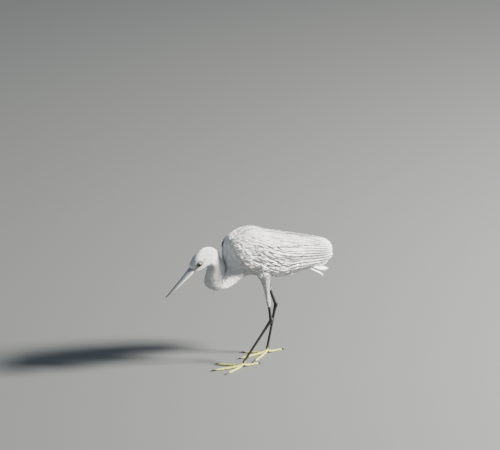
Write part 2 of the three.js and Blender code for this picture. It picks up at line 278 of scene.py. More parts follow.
class Loft:
    """Rings along a path. A station is [x, y, z, dorsal, ventral, half width] and rounding gives the share
    of the path over which each end closes like an egg. depth, which is the coat's, is one number, or one
    for each station, and is taken off the rings. Places further from the rings than LOFT_MARGIN need no
    distance."""

    def __init__(self, stations, rounding=(0.1, 0.1), end=1.0, side=ACROSS, depth=0.0, rings=(40, 28)):
        self.stations = np.array(stations, float)
        self.stations[:, 3:] = np.maximum(self.stations[:, 3:] - np.reshape(depth, (-1, 1)), THINNEST)
        self.rounding, self.end, self.side, self.rings = rounding, end, np.array(side, float), rings
        self.samples = spline(self.stations[:, :3], np.linspace(0, end, PATH_SAMPLES))
        self.step = end / (PATH_SAMPLES - 1)
        reach = self.stations[:, 3:].max() + LOFT_MARGIN
        self.low, self.high = self.samples.min(0) - reach, self.samples.max(0) + reach

    def ring(self, t):
        """Path point, tangent, dorsal direction and the three radii at shares t."""
        here = spline(self.stations, t)
        ahead = spline(self.stations[:, :3], np.minimum(t + 1e-3, 1))
        tangent = unit(ahead - spline(self.stations[:, :3], np.maximum(t - 1e-3, 0)))
        dorsal = unit(np.cross(tangent, self.side))
        return here[..., :3], tangent, dorsal, here[..., 3:]

    def share(self, t):
        """1 along the middle, falling to 0 at each end as a quarter ellipse."""
        near = np.clip(1 - t / self.end / self.rounding[0], 0, 1)
        far = np.clip(1 - (1 - t / self.end) / self.rounding[1], 0, 1)
        return np.sqrt(np.clip(1 - near**2, 0, 1) * np.clip(1 - far**2, 0, 1))

    def at(self, t, angle, grow=0.0, closed=False):
        """Path point + dorsal * rise * cos(angle) + side * half width * sin(angle), with grow added to both
        radii."""
        t, angle, grow = np.broadcast_arrays(np.asarray(t, float), angle, grow)
        path, _, dorsal, size = self.ring(t)
        share = self.share(t) if closed else 1.0
        c, s = np.cos(angle), np.sin(angle)
        rise = np.where(c > 0, size[..., 0], size[..., 1]) * share
        width = size[..., 2] * share
        raised = path + dorsal * ((rise + grow) * c)[..., None]
        return raised + self.side * ((width + grow) * s)[..., None]

    def locate(self, p):
        """The share, angle, tangent and signed distance of places p. The nearest of the sampled path points
        gives a first share, one step along the tangent refines it, and the distance is radial, from the
        ring's ellipse. Ahead of an end it also counts how far the place lies beyond the last ring, less 1
        mm."""
        little, least = 0.002, 0.4
        nearest = ((self.samples**2).sum(1) - 2 * p @ self.samples.T).argmin(1)
        t = nearest * self.step
        path, tangent, _, _ = self.ring(t)
        pace = np.linalg.norm(spline(self.stations[:, :3], t + little) - path, axis=1) / little
        t = np.clip(t + dot(p - path, tangent)[:, 0] / np.maximum(pace, 1.0), 0, self.end)
        path, tangent, dorsal, size = self.ring(t)
        out = p - path
        a, b = dot(out, dorsal)[:, 0], out @ self.side
        along = dot(out, tangent)[:, 0]
        share = self.share(t)
        rise = np.maximum(np.where(a > 0, size[:, 0], size[:, 1]) * share, least)
        width = np.maximum(size[:, 2] * share, least)
        radius = np.hypot(a, b)
        reach = np.hypot(a / rise, b / width)
        radial = np.where(reach > 1e-6, radius - radius / np.maximum(reach, 1e-6), -np.minimum(rise, width))
        beyond = np.maximum(np.abs(along) - 1.0, 0)
        value = np.where(radial > 0, np.hypot(radial, beyond), radial + beyond)
        return t, np.arctan2(b, a), tangent, value

    def grid(self):
        """A closed grid of places, closer together at the ends, first and last rows gathered into a
        point."""
        rows, columns = self.rings
        t = (1 - np.cos(np.pi * np.linspace(0, 1, rows))) / 2 * self.end
        angle = np.linspace(0, 2 * np.pi, columns, endpoint=False)
        return self.at(t[:, None], angle[None], closed=True)


def tube_faces(rows, columns, first=0):
    """Four-cornered faces between neighbouring rows of a grid whose columns close on themselves."""
    i, j = np.meshgrid(np.arange(rows - 1), np.arange(columns), indexing="ij")
    k = (j + 1) % columns
    here, after = i * columns, (i + 1) * columns
    return first + np.stack([here + j, after + j, after + k, here + k], -1).reshape(-1, 4)


def new_mesh(name, places, quads, threes=None, maps=None, values=None):
    """A mesh from whole arrays: places in millimetres, faces with four and three corners, UV maps and float
    attributes given for each vertex."""
    threes = np.zeros((0, 3), int) if threes is None else threes
    corners = np.concatenate([quads.ravel(), threes.ravel()]).astype(np.int32)
    totals = np.repeat([4, 3], [len(quads), len(threes)])
    mesh = bpy.data.meshes.new(name)
    mesh.vertices.add(len(places))
    mesh.vertices.foreach_set("co", ((places + SHIFT) * MM).astype(np.float32).ravel())
    mesh.loops.add(len(corners))
    mesh.loops.foreach_set("vertex_index", corners)
    mesh.polygons.add(len(totals))
    mesh.polygons.foreach_set("loop_start", (np.cumsum(totals) - totals).astype(np.int32))
    mesh.update(calc_edges=True)
    mesh.validate()
    mesh.polygons.foreach_set("use_smooth", np.ones(len(mesh.polygons), bool))
    index = numbers(mesh.loops, "vertex_index", 1, np.int32)
    for key, uv in (maps or {}).items():
        mesh.uv_layers.new(name=key).uv.foreach_set("vector", uv[index].astype(np.float32).ravel())
    for key, value in (values or {}).items():
        mesh.attributes.new(key, "FLOAT", "POINT").data.foreach_set("value", value.astype(np.float32))
    return mesh


def numbers(collection, key, width, kind=np.float32):
    """A collection's property as one array, width numbers to a row."""
    found = np.empty(len(collection) * width, kind)
    collection.foreach_get(key, found)
    return found.reshape(-1, width) if width > 1 else found


def piece(name, mesh, material, nodes=()):
    """Puts a mesh in the scene as a finished piece: its material, what it rides on and the nodes it stands
    for."""
    obj = bpy.data.objects.new(name, mesh)
    bpy.context.scene.collection.objects.link(obj)
    mesh.materials.append(material)
    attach(obj, "root")
    if nodes:
        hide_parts(*nodes)
    triangles = int((numbers(mesh.polygons, "loop_total", 1, np.int32) - 2).sum())
    print(name, triangles, "triangles")
    return obj


# %% [markdown]
# The stations of each part of the body follow the CAD's to within a few millimetres. Places on the head are
# given forward along the bill and up across it, from the eye. The coat's depth is taken off each part:
# nearly none at the face, 4 mm on the trunk.


# %% The body's stations
AHEAD = np.array([-np.cos(BILL_PITCH), 0.0, -np.sin(BILL_PITCH)])
CROWN = np.array([-np.sin(BILL_PITCH), 0.0, np.cos(BILL_PITCH)])


def head_station(forward, up, *sizes):
    """A station whose place is eye + forward * ahead + up * crown."""
    return [*(EYE + forward * AHEAD + up * CROWN), *sizes]


BODY = [
    [-79, 0, 251, 27, 26, 23],
    [-57, 0, 250, 42, 42, 35],
    [-24, 0, 246, 54.5, 47.5, 40],
    [11, 0, 240, 49, 49, 41.5],
    [46, 0, 236, 42.5, 54, 39.5],
    [80, 0, 233, 35.5, 49.5, 33],
    [113, 0, 229, 29.5, 41, 24],
    [144, 0, 223, 25, 34, 15],
    [174, 0, 216, 21, 29, 8],
]
HEAD = [
    head_station(18, -2.4, 8.2, 8.0, 6.4),
    head_station(9, -1.4, 12.8, 14.6, 10.8),
    head_station(-5, -1, 15.4, 19.6, 15.6),
    head_station(-20, -3, 14.6, 19.4, 17.2),
    head_station(-33, -9, 13, 17.4, 16.6),
    head_station(-42, -19, 8, 11, 11.5),
]
UPPER_NECK = [
    [-122, 0, 256, 10, 12, 12],
    [-112, 0, 249, 15, 15, 14.5],
    [-100, 0, 238, 17, 18.5, 16],
    [-94, 0, 223, 17, 22, 17],
    [-98, 0, 206, 17.5, 22, 17.5],
    [-105, 0, 192, 16.5, 18.5, 17.5],
    [-106, 0, 180, 14, 14, 15],
]
LOWER_NECK = [
    [-116, 0, 192, 13, 15, 16],
    [-98, 0, 189, 18, 16, 18],
    [-79, 0, 193, 22, 17, 21],
    [-57, 0, 205, 27, 16.5, 25],
    [-33, 0, 222, 31, 21, 30],
    [-8, 0, 233, 34, 30, 33],
]
LEG_SPREAD = 21.0
LEGS = {
    "left": {"hip": (2, 222), "cuff": (15.5, 126), "ankle": (20, 93), "foot": (-46, 8), "heading": 176},
    "right": {"hip": (10, 226), "cuff": (37.5, 146), "ankle": (51, 110), "foot": (32, 8), "heading": 186},
}
THIGH_RADII = [[98, 15], [76, 13], [56, 7.8], [34, 5], [12, 4.2], [0, 3.7]]


def thigh_stations(name):
    """Rings down the line from hip to cuff, at distances above the cuff, each an ellipse a tenth deeper
    than wide."""
    leg = LEGS[name]
    hip, cuff = np.array(leg["hip"], float), np.array(leg["cuff"], float)
    length = np.linalg.norm(hip - cuff)
    rows = []
    for reach, radius in THIGH_RADII:
        x, z = cuff + (hip - cuff) * reach / length
        rows.append([x, SIDES[name] * LEG_SPREAD, z, radius * 1.1, radius * 1.1, radius])
    return rows


BODY_ROUNDING = (0.13, 0.16)
body = Loft(BODY, BODY_ROUNDING, end=0.83, depth=4.0, rings=(60, 48))
head = Loft(HEAD, (0.05, 0.3), depth=[-0.4, 0.9, 1.4, 1.4, 1.5, 2.0], rings=(40, 40))
upper_neck = Loft(UPPER_NECK, (0.2, 0.24), depth=2.8)
lower_neck = Loft(LOWER_NECK, (0.22, 0.1), depth=3.4)
thighs = [Loft(thigh_stations(name), (0.2, 0.05), depth=1.0) for name in SIDES]
outer_body = Loft(BODY, BODY_ROUNDING)
print("rings: trunk", len(BODY), "neck", len(LOWER_NECK) + len(UPPER_NECK), "head", len(HEAD))

# %% [markdown]
# A form melts several lofts into one surface: the smaller of two distances, rounded off where they are
# nearly equal, as flesh fills the crease where neck meets breast. Its slope, from four nearby values, gives
# the surface's normal.


# %% Melted forms
FAR = 90.0
SOCKET_BLEND = 1.2


class Form:
    """Lofts, each melted into those before it over its own blend, and sockets cut out of them."""

    def __init__(self, lofts, blends, sockets=()):
        self.lofts, self.blends, self.sockets = lofts, blends, sockets

    def value(self, p):
        """Smooth minimum of the lofts' distances: min(a, b) - k h (1 - h), with h = (1 + (b - a) / k) / 2
        kept between 0 and 1. A socket is a ball cut out of the form, likewise rounded."""
        total = np.full(len(p), FAR)
        for loft, blend in zip(self.lofts, self.blends):
            near = ((p > loft.low) & (p < loft.high)).all(1)
            value = np.full(len(p), FAR)
            if near.any():
                value[near] = loft.locate(p[near])[3]
            h = np.clip(0.5 + 0.5 * (total - value) / blend, 0, 1)
            total = total * (1 - h) + value * h - blend * h * (1 - h)
        for centre, radius in self.sockets:
            value = radius - np.linalg.norm(p - centre, axis=1)
            h = np.clip(0.5 - 0.5 * (total - value) / SOCKET_BLEND, 0, 1)
            total = total * (1 - h) + value * h + SOCKET_BLEND * h * (1 - h)
        return total

    def surface(self, p):
        """Signed distance to the surface, corrected by the slope's length, and the unit normal."""
        reach = 0.35
        middle = self.value(p)
        slope = np.stack([self.value(p + reach * axis) - middle for axis in np.eye(3)], 1) / reach
        size = np.maximum(np.linalg.norm(slope, axis=1), 0.3)
        return middle / size, unit(slope)

    def settle(self, p):
        """Moves places onto the surface in two steps along the normal, and returns them with it."""
        longest = 3.0
        for _ in range(2):
            value, normal = self.surface(p)
            p = p - normal * np.clip(value, -longest, longest)[:, None]
        return p, normal


def melted_mesh(name, form, voxel):
    """One closed skin: the lofts' grids joined by a voxel remesh, then every vertex settled on the melted
    form."""
    places, quads, first = [], [], 0
    for loft in form.lofts:
        grid = loft.grid()
        rows, columns = grid.shape[:2]
        places.append(grid.reshape(-1, 3))
        quads.append(tube_faces(rows, columns, first))
        first += rows * columns
    rough = bpy.data.objects.new(name, new_mesh(name, np.concatenate(places), np.concatenate(quads)))
    bpy.context.scene.collection.objects.link(rough)
    weld = rough.modifiers.new("weld", "WELD")
    weld.merge_threshold = 0.02 * MM
    remesh = rough.modifiers.new("remesh", "REMESH")
    remesh.mode, remesh.voxel_size = "VOXEL", voxel * MM
    soften = rough.modifiers.new("soften", "SMOOTH")
    soften.factor, soften.iterations = 0.5, 3
    made = bpy.data.meshes.new_from_object(rough.evaluated_get(bpy.context.evaluated_depsgraph_get()))
    bpy.data.objects.remove(rough)
    places = numbers(made.vertices, "co", 3).astype(float) / MM - SHIFT
    places, normal = form.settle(places)
    return made, places, normal


def set_places(mesh, places):
    """Moves a mesh's vertices and shades it smooth."""
    mesh.vertices.foreach_set("co", ((places + SHIFT) * MM).astype(np.float32).ravel())
    mesh.polygons.foreach_set("use_smooth", np.ones(len(mesh.polygons), bool))
    mesh.update()


# %% [markdown]
# Where the face is bare, between bill and eye and round the eye, skin shows. A bare measure is worked out
# from places on the head: above 0 inside the bare patch, in millimetres from its edge. The same measure
# keeps the feathers off.


# %% The bare face
EYE_RING, FACE_HALF = 6.0, 5.0


def head_coordinates(p):
    """Forward, up and sideways places on the head, from the eye."""
    out = p - EYE
    return out @ AHEAD, out @ CROWN, out[..., 1]


def bareness(p):
    """The larger of two measures: how far inside a ring round either eye, and how far inside the lore, a
    wedge from the eye to the bill's base between the gape line and a line that falls from brow to
    culmen."""
    forward, up, side = head_coordinates(p)
    ring = EYE_RING - np.sqrt(forward**2 + up**2 + np.minimum(np.abs(side) - EYE_OFFSET, 0) ** 2)
    ring = np.where(np.abs(side) > FACE_HALF, ring, -9.0)
    under_brow = 3.2 + 0.14 * forward - up
    over_gape = up + 4.4 + 0.06 * forward
    before_eye = forward + 1.0
    off_middle = np.abs(side) - 2.4 + 0.25 * (up < 0)
    lore = np.minimum(np.minimum(under_brow, over_gape), np.minimum(before_eye, off_middle))
    return np.maximum(ring, lore)


SOCKETS = [(EYE + side * EYE_OFFSET * ACROSS, EYE_RADIUS + 0.5) for side in SIDES.values()]
BLENDS = [1, 8, 2.5, 14, 7, 7]
SKIN_VOXEL = 1.4
flesh = Form([body, lower_neck, upper_neck, head, *thighs], BLENDS, SOCKETS)
skin_mesh, skin_places, skin_normal = melted_mesh("skin", flesh, SKIN_VOXEL)
set_places(skin_mesh, skin_places)
print("skin", len(skin_places), "vertices")

# %% [markdown]
# The skin is one closed piece from face to knees. Nearly all of it hides under feathers, so it is plain
# white down, but the bare face shows: grey-green, finely wrinkled, with a dark streak from the eye to the
# corner of the mouth.

# %% Skin
WHITE = (0.88, 0.875, 0.85)
LORE = (0.29, 0.315, 0.27)
STREAK = (0.035, 0.045, 0.045)
forward, up, side = head_coordinates(skin_places)
line = (up + 1.6 + 0.05 * forward) / 1.3
streak = np.exp(-(line**2)) * smoothstep(forward, 2, 5) * smoothstep(20 - forward)
for key, value in {"bare": bareness(skin_places), "streak": streak}.items():
    skin_mesh.attributes.new(key, "FLOAT", "POINT").data.foreach_set("value", value.astype(np.float32))

skin_paint, skin_shader = shader("skin_paint", 0.55)
skin_place = object_place(skin_paint)
pale_lore = tuple(1.75 * part for part in LORE)
lore_colour = ramp(skin_paint, noise(skin_paint, skin_place, 420.0, 4.0), [(0.35, LORE), (0.65, pale_lore)])
lore_colour = mix(skin_paint, attribute(skin_paint, "streak"), lore_colour, (*STREAK, 1))
edge = spanned(skin_paint, attribute(skin_paint, "bare"), -0.9, -0.2)
face_colour = mix(skin_paint, edge, (*WHITE, 1), lore_colour)
wire(skin_paint, face_colour, skin_shader.inputs["Base Color"])
bump(skin_paint, skin_shader, cell_edges(skin_paint, skin_place, 1300.0), 0.35, 0.0004)
FLESH_NODES = ("head", "neck_upper", "neck_middle", "neck_lower", "trunk", "thigh_left", "thigh_right")
piece("skin", skin_mesh, skin_paint, FLESH_NODES)

# %% [markdown]
# A feather, large or small, is one thin closed vane: a lens-shaped section carried along a shaft, gathered
# to a point at root and tip. Thousands are made at once as arrays, feather by station by point round the
# section, so that each one costs only a few dozen faces.


# %% A vane
BAKE_PATCH = 0.003
VANE_UNIT = 0.1


def profile(s, rise, blunt, fall):
    """Share of the full half width at share s of the length: s^rise (1 - s^blunt)^fall, over its largest
    value."""
    fine = np.linspace(0, 1, 200)
    here, anywhere = (x**rise * np.maximum(1 - x**blunt, 0) ** fall for x in (s, fine))
    return here / anywhere.max()


def stations_along(count):
    """Shares of a feather's length, closer together towards its tip: 1 - (1 - s)^1.3."""
    return 1 - (1 - np.linspace(0, 1, count)) ** 1.3


def vanes(path, normal, half, root_map, columns, thickness, camber, tilt):
    """Places = path + across * x + up * (tilt x - camber x^2 / 2 +- thickness (1 - j^2) / 2), where j runs
    from -1 to 1 across the vane, x = j * half width, and the sign is that of its upper or under face. The
    map OFBake gives each vane a small patch at its root's place, and the map vane holds millimetres along
    and across, times VANE_UNIT."""
    count, rows = half.shape
    along = unit(np.gradient(path, axis=1))
    across = unit(np.cross(normal, along))
    rise = np.cross(along, across)
    j = np.linspace(-1, 1, columns)
    around = np.concatenate([j, j[-2:0:-1]])
    face = np.concatenate([np.ones(columns), -np.ones(columns - 2)])
    ring = len(around)
    x = half[:, 1:-1, None] * around
    lift = np.reshape(tilt, (-1, 1, 1)) * x - np.reshape(camber, (-1, 1, 1)) * x**2 / 2
    lift = lift + face * (1 - around**2) * thickness / 2
    inside = np.s_[:, 1:-1, None]
    rings = path[inside] + across[inside] * x[..., None] + rise[inside] * lift[..., None]
    places = np.concatenate([path[:, :1], rings.reshape(count, -1, 3), path[:, -1:]], 1)

    size = ring * (rows - 2) + 2
    quads = tube_faces(rows - 2, ring, 1)
    a = np.arange(ring)
    b = (a + 1) % ring
    last = 1 + (rows - 3) * ring
    threes = np.concatenate([
        np.stack([0 * a, 1 + a, 1 + b], 1),
        np.stack([last + a, 0 * a + size - 1, last + b], 1),
    ])
    starts = (np.arange(count) * size)[:, None, None]

    step = np.linalg.norm(np.diff(path, axis=1), axis=2)
    reach = np.concatenate([np.zeros((count, 1)), np.cumsum(step, 1)], 1)
    reach = np.concatenate([reach[:, :1], np.repeat(reach[:, 1:-1], ring, 1), reach[:, -1:]], 1)
    share = reach / np.maximum(reach[:, -1:], 1e-6)
    point = np.zeros((count, 1))
    sideways = np.broadcast_to(around, (count, rows - 2, ring)).reshape(count, -1)
    sideways = np.concatenate([point, sideways, point], 1)
    mm_across = np.concatenate([point, x.reshape(count, -1), point], 1)
    patch = np.stack([share - 0.5, sideways / 2], -1) * BAKE_PATCH
    bake = np.clip(root_map[:, None] + patch, 0, 1)
    vane = np.stack([reach, mm_across], -1) * VANE_UNIT
    shade = np.repeat(rng.random(count), size)
    return places, starts + quads, starts + threes, bake, vane, shade


def coat(name, batches, material, nodes=()):
    """Joins batches of vanes into one piece."""
    places, quads, threes, bakes, maps, shades = [], [], [], [], [], []
    first = 0
    for place, quad, three, bake, vane, shade in batches:
        places.append(place.reshape(-1, 3))
        quads.append(quad.reshape(-1, 4) + first)
        threes.append(three.reshape(-1, 3) + first)
        bakes.append(bake.reshape(-1, 2))
        maps.append(vane.reshape(-1, 2))
        shades.append(shade)
        first += len(places[-1])
    join = np.concatenate
    mesh = new_mesh(
        name, join(places), join(quads), join(threes),
        {"OFBake": join(bakes), "vane": join(maps)}, {"shade": join(shades)},
    )
    return piece(name, mesh, material, nodes)


# %% [markdown]
# Plumage is white, but not one white: each feather differs a little, and slow changes over the body make it
# warmer or cooler. On the vane, fine barbs slant forward from the shaft on both sides, drawn as bump from
# the feather's own map of millimetres along and across, and the shaft is a low ridge.


# %% Plumage
def plumage(name, barb_spacing, barb_depth, shaft_width):
    """White vanes, with barb spacing, barb depth and shaft width in millimetres. Barb height = sine of
    (along - 1.2 |across|) over the spacing, plus a ridge of 4 where across is 0. Light also spreads 2 mm
    inside a vane."""
    made, principled = shader(
        name, 0.72, Sheen_Weight=0.12, Sheen_Roughness=0.5,
        Subsurface_Weight=0.6, Subsurface_Radius=(1.0, 1.0, 1.0), Subsurface_Scale=0.002,
    )
    whites = [(0.0, (0.84, 0.835, 0.81)), (0.5, WHITE), (1.0, (0.92, 0.92, 0.905))]
    each = ramp(made, attribute(made, "shade"), whites)
    slow = noise(made, object_place(made), 22.0, 2.0)
    cast = ramp(made, slow, [(0.35, (0.97, 0.985, 1.0)), (0.65, (1.0, 0.985, 0.955))])
    wire(made, mix(made, 1.0, each, cast, "MULTIPLY"), principled.inputs["Base Color"])
    vane_map = node(made, "ShaderNodeUVMap", uv_map="vane").outputs["UV"]
    parts = node(made, "ShaderNodeSeparateXYZ", {"Vector": vane_map})
    across = reckon(made, "ABSOLUTE", parts.outputs["Y"])
    slant = reckon(made, "MULTIPLY_ADD", across, -1.2, parts.outputs["X"])
    barb = reckon(made, "SINE", reckon(made, "MULTIPLY", slant, 2 * np.pi / (barb_spacing * VANE_UNIT)))
    ridge = spanned(made, across, 0.0, shaft_width * VANE_UNIT, To_Min=4.0, To_Max=0.0)
    bump(made, principled, reckon(made, "ADD", barb, ridge), 0.5, barb_depth * MM)
    return made


tuft_paint = plumage("tuft_paint", barb_spacing=0.5, barb_depth=0.03, shaft_width=0.15)
vane_paint = plumage("vane_paint", barb_spacing=0.7, barb_depth=0.04, shaft_width=0.45)
print("two plumage finishes:", tuft_paint.name, vane_paint.name)

# %% [markdown]
# Feathers lie along the body: from bill to nape, down the neck, over the breast and back to the tail. Every
# loft runs that way, so a feather takes the direction of the lofts nearest to it. Only on the shoulder,
# behind the drawn-in neck, the feathers point upwards, and they turn back over the first quarter of the
# trunk.

# %% The lie of the coat
TURN_BACK = (0.06, 0.24)
FLESH = {"body": body, "lower_neck": lower_neck, "upper_neck": upper_neck, "head": head}
FLESH.update({"thigh_" + name: loft for name, loft in zip(SIDES, thighs)})


def located(p):
    """For each loft of the flesh: share, angle, tangent and a nearness weight exp(-distance / 1.5 mm)."""
    found = {}
    for key, loft in FLESH.items():
        t, angle, tangent, value = loft.locate(p)
        found[key] = t, angle, tangent, np.exp(-np.clip(value, -3, 60) / 1.5)
    return found


def lie_of(p, normal, found):
    """The weighted mean of the lofts' directions, laid flat on the surface. The trunk's is 0.8 up + 0.45
    back at its front, and its path's own direction from the end of TURN_BACK on."""
    total = np.zeros_like(p)
    for key, (t, _, tangent, weight) in found.items():
        if key == "body":
            turned = smoothstep(t, *TURN_BACK)[:, None]
            tangent = unit(0.8 * UP * (1 - turned) + tangent * (0.45 + 0.55 * turned))
        total += tangent * weight[:, None]
    return unit(total - normal * dot(total, normal))


def shafts(form, p, normal, lie, length, heights):
    """Shafts walked over a form: each step goes on in the same direction, is put at its own height over the
    surface, and the direction is laid flat again. heights are in millimetres for each feather and station,
    and one step changes a height by no more than steepest."""
    steepest = 2.5
    rows = heights.shape[1]
    step = (length / (rows - 1))[:, None]
    path, normals = [p + normal * heights[:, :1]], [normal]
    for i in range(1, rows):
        ahead = path[-1] + lie * step
        value, normal = form.surface(ahead)
        ahead = ahead + normal * np.clip(heights[:, i] - value, -steepest, steepest)[:, None]
        lie = unit(lie - normal * dot(lie, normal))
        path.append(ahead)
        normals.append(normal)
    return np.stack(path, 1), np.stack(normals, 1)


# %% [markdown]
# The folded wing lies over each side of the body. A place on it has a share u from the bend of the wing to
# the rear and a share v from its upper edge to its lower one. The rear outline is ragged, where seven
# feather tips end.

# %% Places on the folded wing
WING_CLEARANCE = 0.9
SCALLOPS = 7
SCALLOP_DEPTH = 0.014
REAR_REACH = [0.93, 0.965, 0.985, 0.998, 1, 0.992, 0.975, 0.95]
LOWER_EDGE = [96, 108, 121, 130, 134, 135, 136, 138, 140]
WING_STRETCH = 237.0


def wing_nose(v):
    """The bend of the wing: a shallow curve, 0.05 + 0.05 (2 v - 0.9)^2 of the body's path."""
    return 0.05 + 0.05 * (2 * v - 0.9) ** 2


def wing_edges(t):
    """Angles from the back's middle line at which the wing's upper and lower edges lie, at share t of the
    body."""
    return np.radians(20 - 16 * np.clip(t, 0, 1)), np.radians(through(LOWER_EDGE, t))


def wing_share(u, v):
    """Share of the body's path at (u, v), with scallops that deepen as u^6 towards the rear."""
    nose, reach = wing_nose(v), through(REAR_REACH, v)
    straight = nose + (reach - SCALLOP_DEPTH - nose) * u
    scallop = SCALLOP_DEPTH * np.abs(np.sin(SCALLOPS * np.pi * v)) * np.clip(u, 0, 1.2) ** 6
    return np.minimum(1, straight + scallop)


def wing_depth(u, v):
    """How thick the folded wing is: 1.2 mm at its edges, up to 3.4 mm more behind the bend, and less to the
    rear."""
    v = np.clip(v, 0, 1)
    return 1.2 + 3.4 * np.sin(np.pi * v) ** 0.6 * smoothstep(u, 0, 0.12) * (1 - 0.72 * np.clip(u, 0, 1))


def wing_place(side, u, v, height):
    """The place at (u, v), at a height over the wing's underside given as a share of its depth there."""
    t = wing_share(u, v)
    upper, lower = wing_edges(t)
    angle = (upper + (lower - upper) * v) * side
    return outer_body.at(t, angle, WING_CLEARANCE + height * wing_depth(u, v))


def wing_coordinates(t, angle):
    """u and v, near enough, of a place on the body at share t and an angle from the back's middle."""
    upper, lower = wing_edges(t)
    v = (np.abs(angle) - upper) / (lower - upper)
    nose = wing_nose(v)
    return (t - nose) / (through(REAR_REACH, np.clip(v, 0, 1)) - nose), v


# %% [markdown]
# Roots are scattered over the skin, one to a small cube, closer together where feathers are smaller: under
# a millimetre apart on the face and four on the belly. None grows on the bare face, under the bill's horn,
# where a folded wing covers the trunk, or deep in a crease.

# %% Roots on the skin
FIELDS = {
    "head": {
        "spacing": 0.85, "length": [3.4, 4.5, 7.5, 10.0], "half": [0.36, 0.45, 0.6, 0.75],
        "depth": [0.6, 1.2, 1.5, 2.1],
    },
    "upper_neck": {
        "spacing": 1.15, "length": [10.0, 12.0, 14.0], "half": [0.62, 0.8, 1.05], "depth": [2.8, 2.8, 2.9],
    },
    "lower_neck": {
        "spacing": 1.45, "length": [12.0, 16.0, 20.0], "half": [1.0, 1.4, 1.9], "depth": [3.1, 3.4, 3.6],
    },
    "body": {
        "spacing": 4.2, "length": [9, 15, 21, 23, 24, 24], "half": [1.2, 2.3, 3.9, 4.1, 4.2, 4.2],
        "depth": [3.2, 3.9, 4, 4, 4, 4],
    },
    "thigh_left": {
        "spacing": 1.3, "length": [14.0, 10.0, 6.0], "half": [1.3, 1.0, 0.7], "depth": [1.6, 1.3, 1.0],
    },
}
FIELDS["thigh_right"] = FIELDS["thigh_left"]
REGIONS = list(FIELDS)


def blended(found, key):
    """A size over the skin: each loft's own value at its share, in the mean weighted by nearness."""
    total, weights = 0.0, 0.0
    for name, (t, _, _, weight) in found.items():
        total = total + weight * through(FIELDS[name][key], t / FLESH[name].end)
        weights = weights + weight
    return total / np.maximum(weights, 1e-9)


def nearest_region(found):
    """The number of the loft with the largest weight."""
    return np.argmax(np.stack([found[name][3] for name in REGIONS]), 0)


def chosen(found, mask):
    """The same record for the places of a mask only."""
    return {key: tuple(part[mask] for part in parts) for key, parts in found.items()}


def from_front(p):
    """Millimetres from the foremost point of the trunk, which the drawn-in neck hides."""
    return np.linalg.norm(p - np.array(BODY[0][:3]), axis=1)


def crease_share(found):
    """1 in the creases where the drawn-in neck and the thighs meet the trunk, and 0 away from them."""
    trunk = found["body"][3]
    other = found["upper_neck"][3] + found["thigh_left"][3] + found["thigh_right"][3]
    return 2 * np.minimum(trunk, other) / np.maximum(trunk + other, 1e-9)


def scattered(corners, spacing, draws):
    """One random place for each cube of the given spacing that the faces cross: bilinear places inside the
    faces, in a shuffled order, of which the first in each cube stays."""
    a, b = rng.random((2, draws * len(corners), 1))
    face = np.tile(corners, (draws, 1))
    weights = np.concatenate([(1 - a) * (1 - b), a * (1 - b), a * b, (1 - a) * b], 1)
    p = (skin_places[face] * weights[..., None]).sum(1)
    normal = unit((skin_normal[face] * weights[..., None]).sum(1))
    order = rng.permutation(len(p))
    cube = np.floor(p[order] / spacing).astype(int) - np.floor(p.min(0) / spacing).astype(int)
    span = cube.max(0) + 1
    _, first = np.unique((cube[:, 0] * span[1] + cube[:, 1]) * span[2] + cube[:, 2], return_index=True)
    return p[order[first]], normal[order[first]]


SHOULDER_SHARE, SHOULDER_SPACING = 0.17, 1.7
WING_FRONT, WING_TOP, WING_FOOT = 0.07, 0.1, 0.84
HORN_EDGE = BILL_BASE + 0.5
BARE_MARGIN = 0.5
DEEPEST_CREASE = 0.35
TRUNK = REGIONS.index("body")

skin_corners = numbers(skin_mesh.loops, "vertex_index", 1, np.int32).reshape(-1, 4)
centres = skin_places[skin_corners].mean(1)
face_region = nearest_region(located(centres))
on_shoulder = (body.locate(centres)[0] < SHOULDER_SHARE) & (face_region == TRUNK)
root_sets = []
for region, name in enumerate(REGIONS):
    wide = FIELDS[name]["spacing"]
    for part, spacing in ((~on_shoulder, wide), (on_shoulder, min(wide, SHOULDER_SPACING))):
        mask = part & (face_region == region)
        if mask.any():
            places, normals = scattered(skin_corners[mask], spacing, 1 + int(3 / spacing))
            root_sets.append((places, normals, np.full(len(places), region)))
root, root_normal, root_region = (np.concatenate(parts) for parts in zip(*root_sets))
root_found, root_bare = located(root), bareness(root)

u, v = wing_coordinates(*root_found["body"][:2])
covered = (root_region == TRUNK) & (u > WING_FRONT) & (v > WING_TOP) & (v < WING_FOOT)
inside_bill = head_coordinates(root)[0] > HORN_EDGE
keep = ~covered & ~inside_bill & (root_bare < -BARE_MARGIN) & (crease_share(root_found) < DEEPEST_CREASE)
root, root_normal, root_region, root_bare = root[keep], root_normal[keep], root_region[keep], root_bare[keep]
root_found = chosen(root_found, keep)
print({name: int((root_region == i).sum()) for i, name in enumerate(REGIONS)}, "roots")

# %% [markdown]
# Each tuft leaves the skin low and rises through the coat's depth to lie on its surface, so that tips lap
# over the roots behind them like tiles. Tufts next to the bare face are cut shorter, down to two
# millimetres, and so are those near the trunk's foremost point, which the neck hides and where the feathers
# of all sides meet.

# %% The coat
SMALL_VANE, TRUNK_VANE = (3, 5), (4, 6)
SHORT_FRONT = 6.0
SHORTEST_AT_BARE, SHORTEST_AT_FRONT = 1.8, 2.6
TUFT_THICKNESS = 0.14


def root_maps(region, found):
    """Each root's place on an unwrap of its own region: the share along the loft, and the angle round
    it."""
    name = REGIONS[region]
    t, angle = found[name][:2]
    return np.stack([t / FLESH[name].end, angle / (2 * np.pi) + 0.5], 1) * 0.98 + 0.01


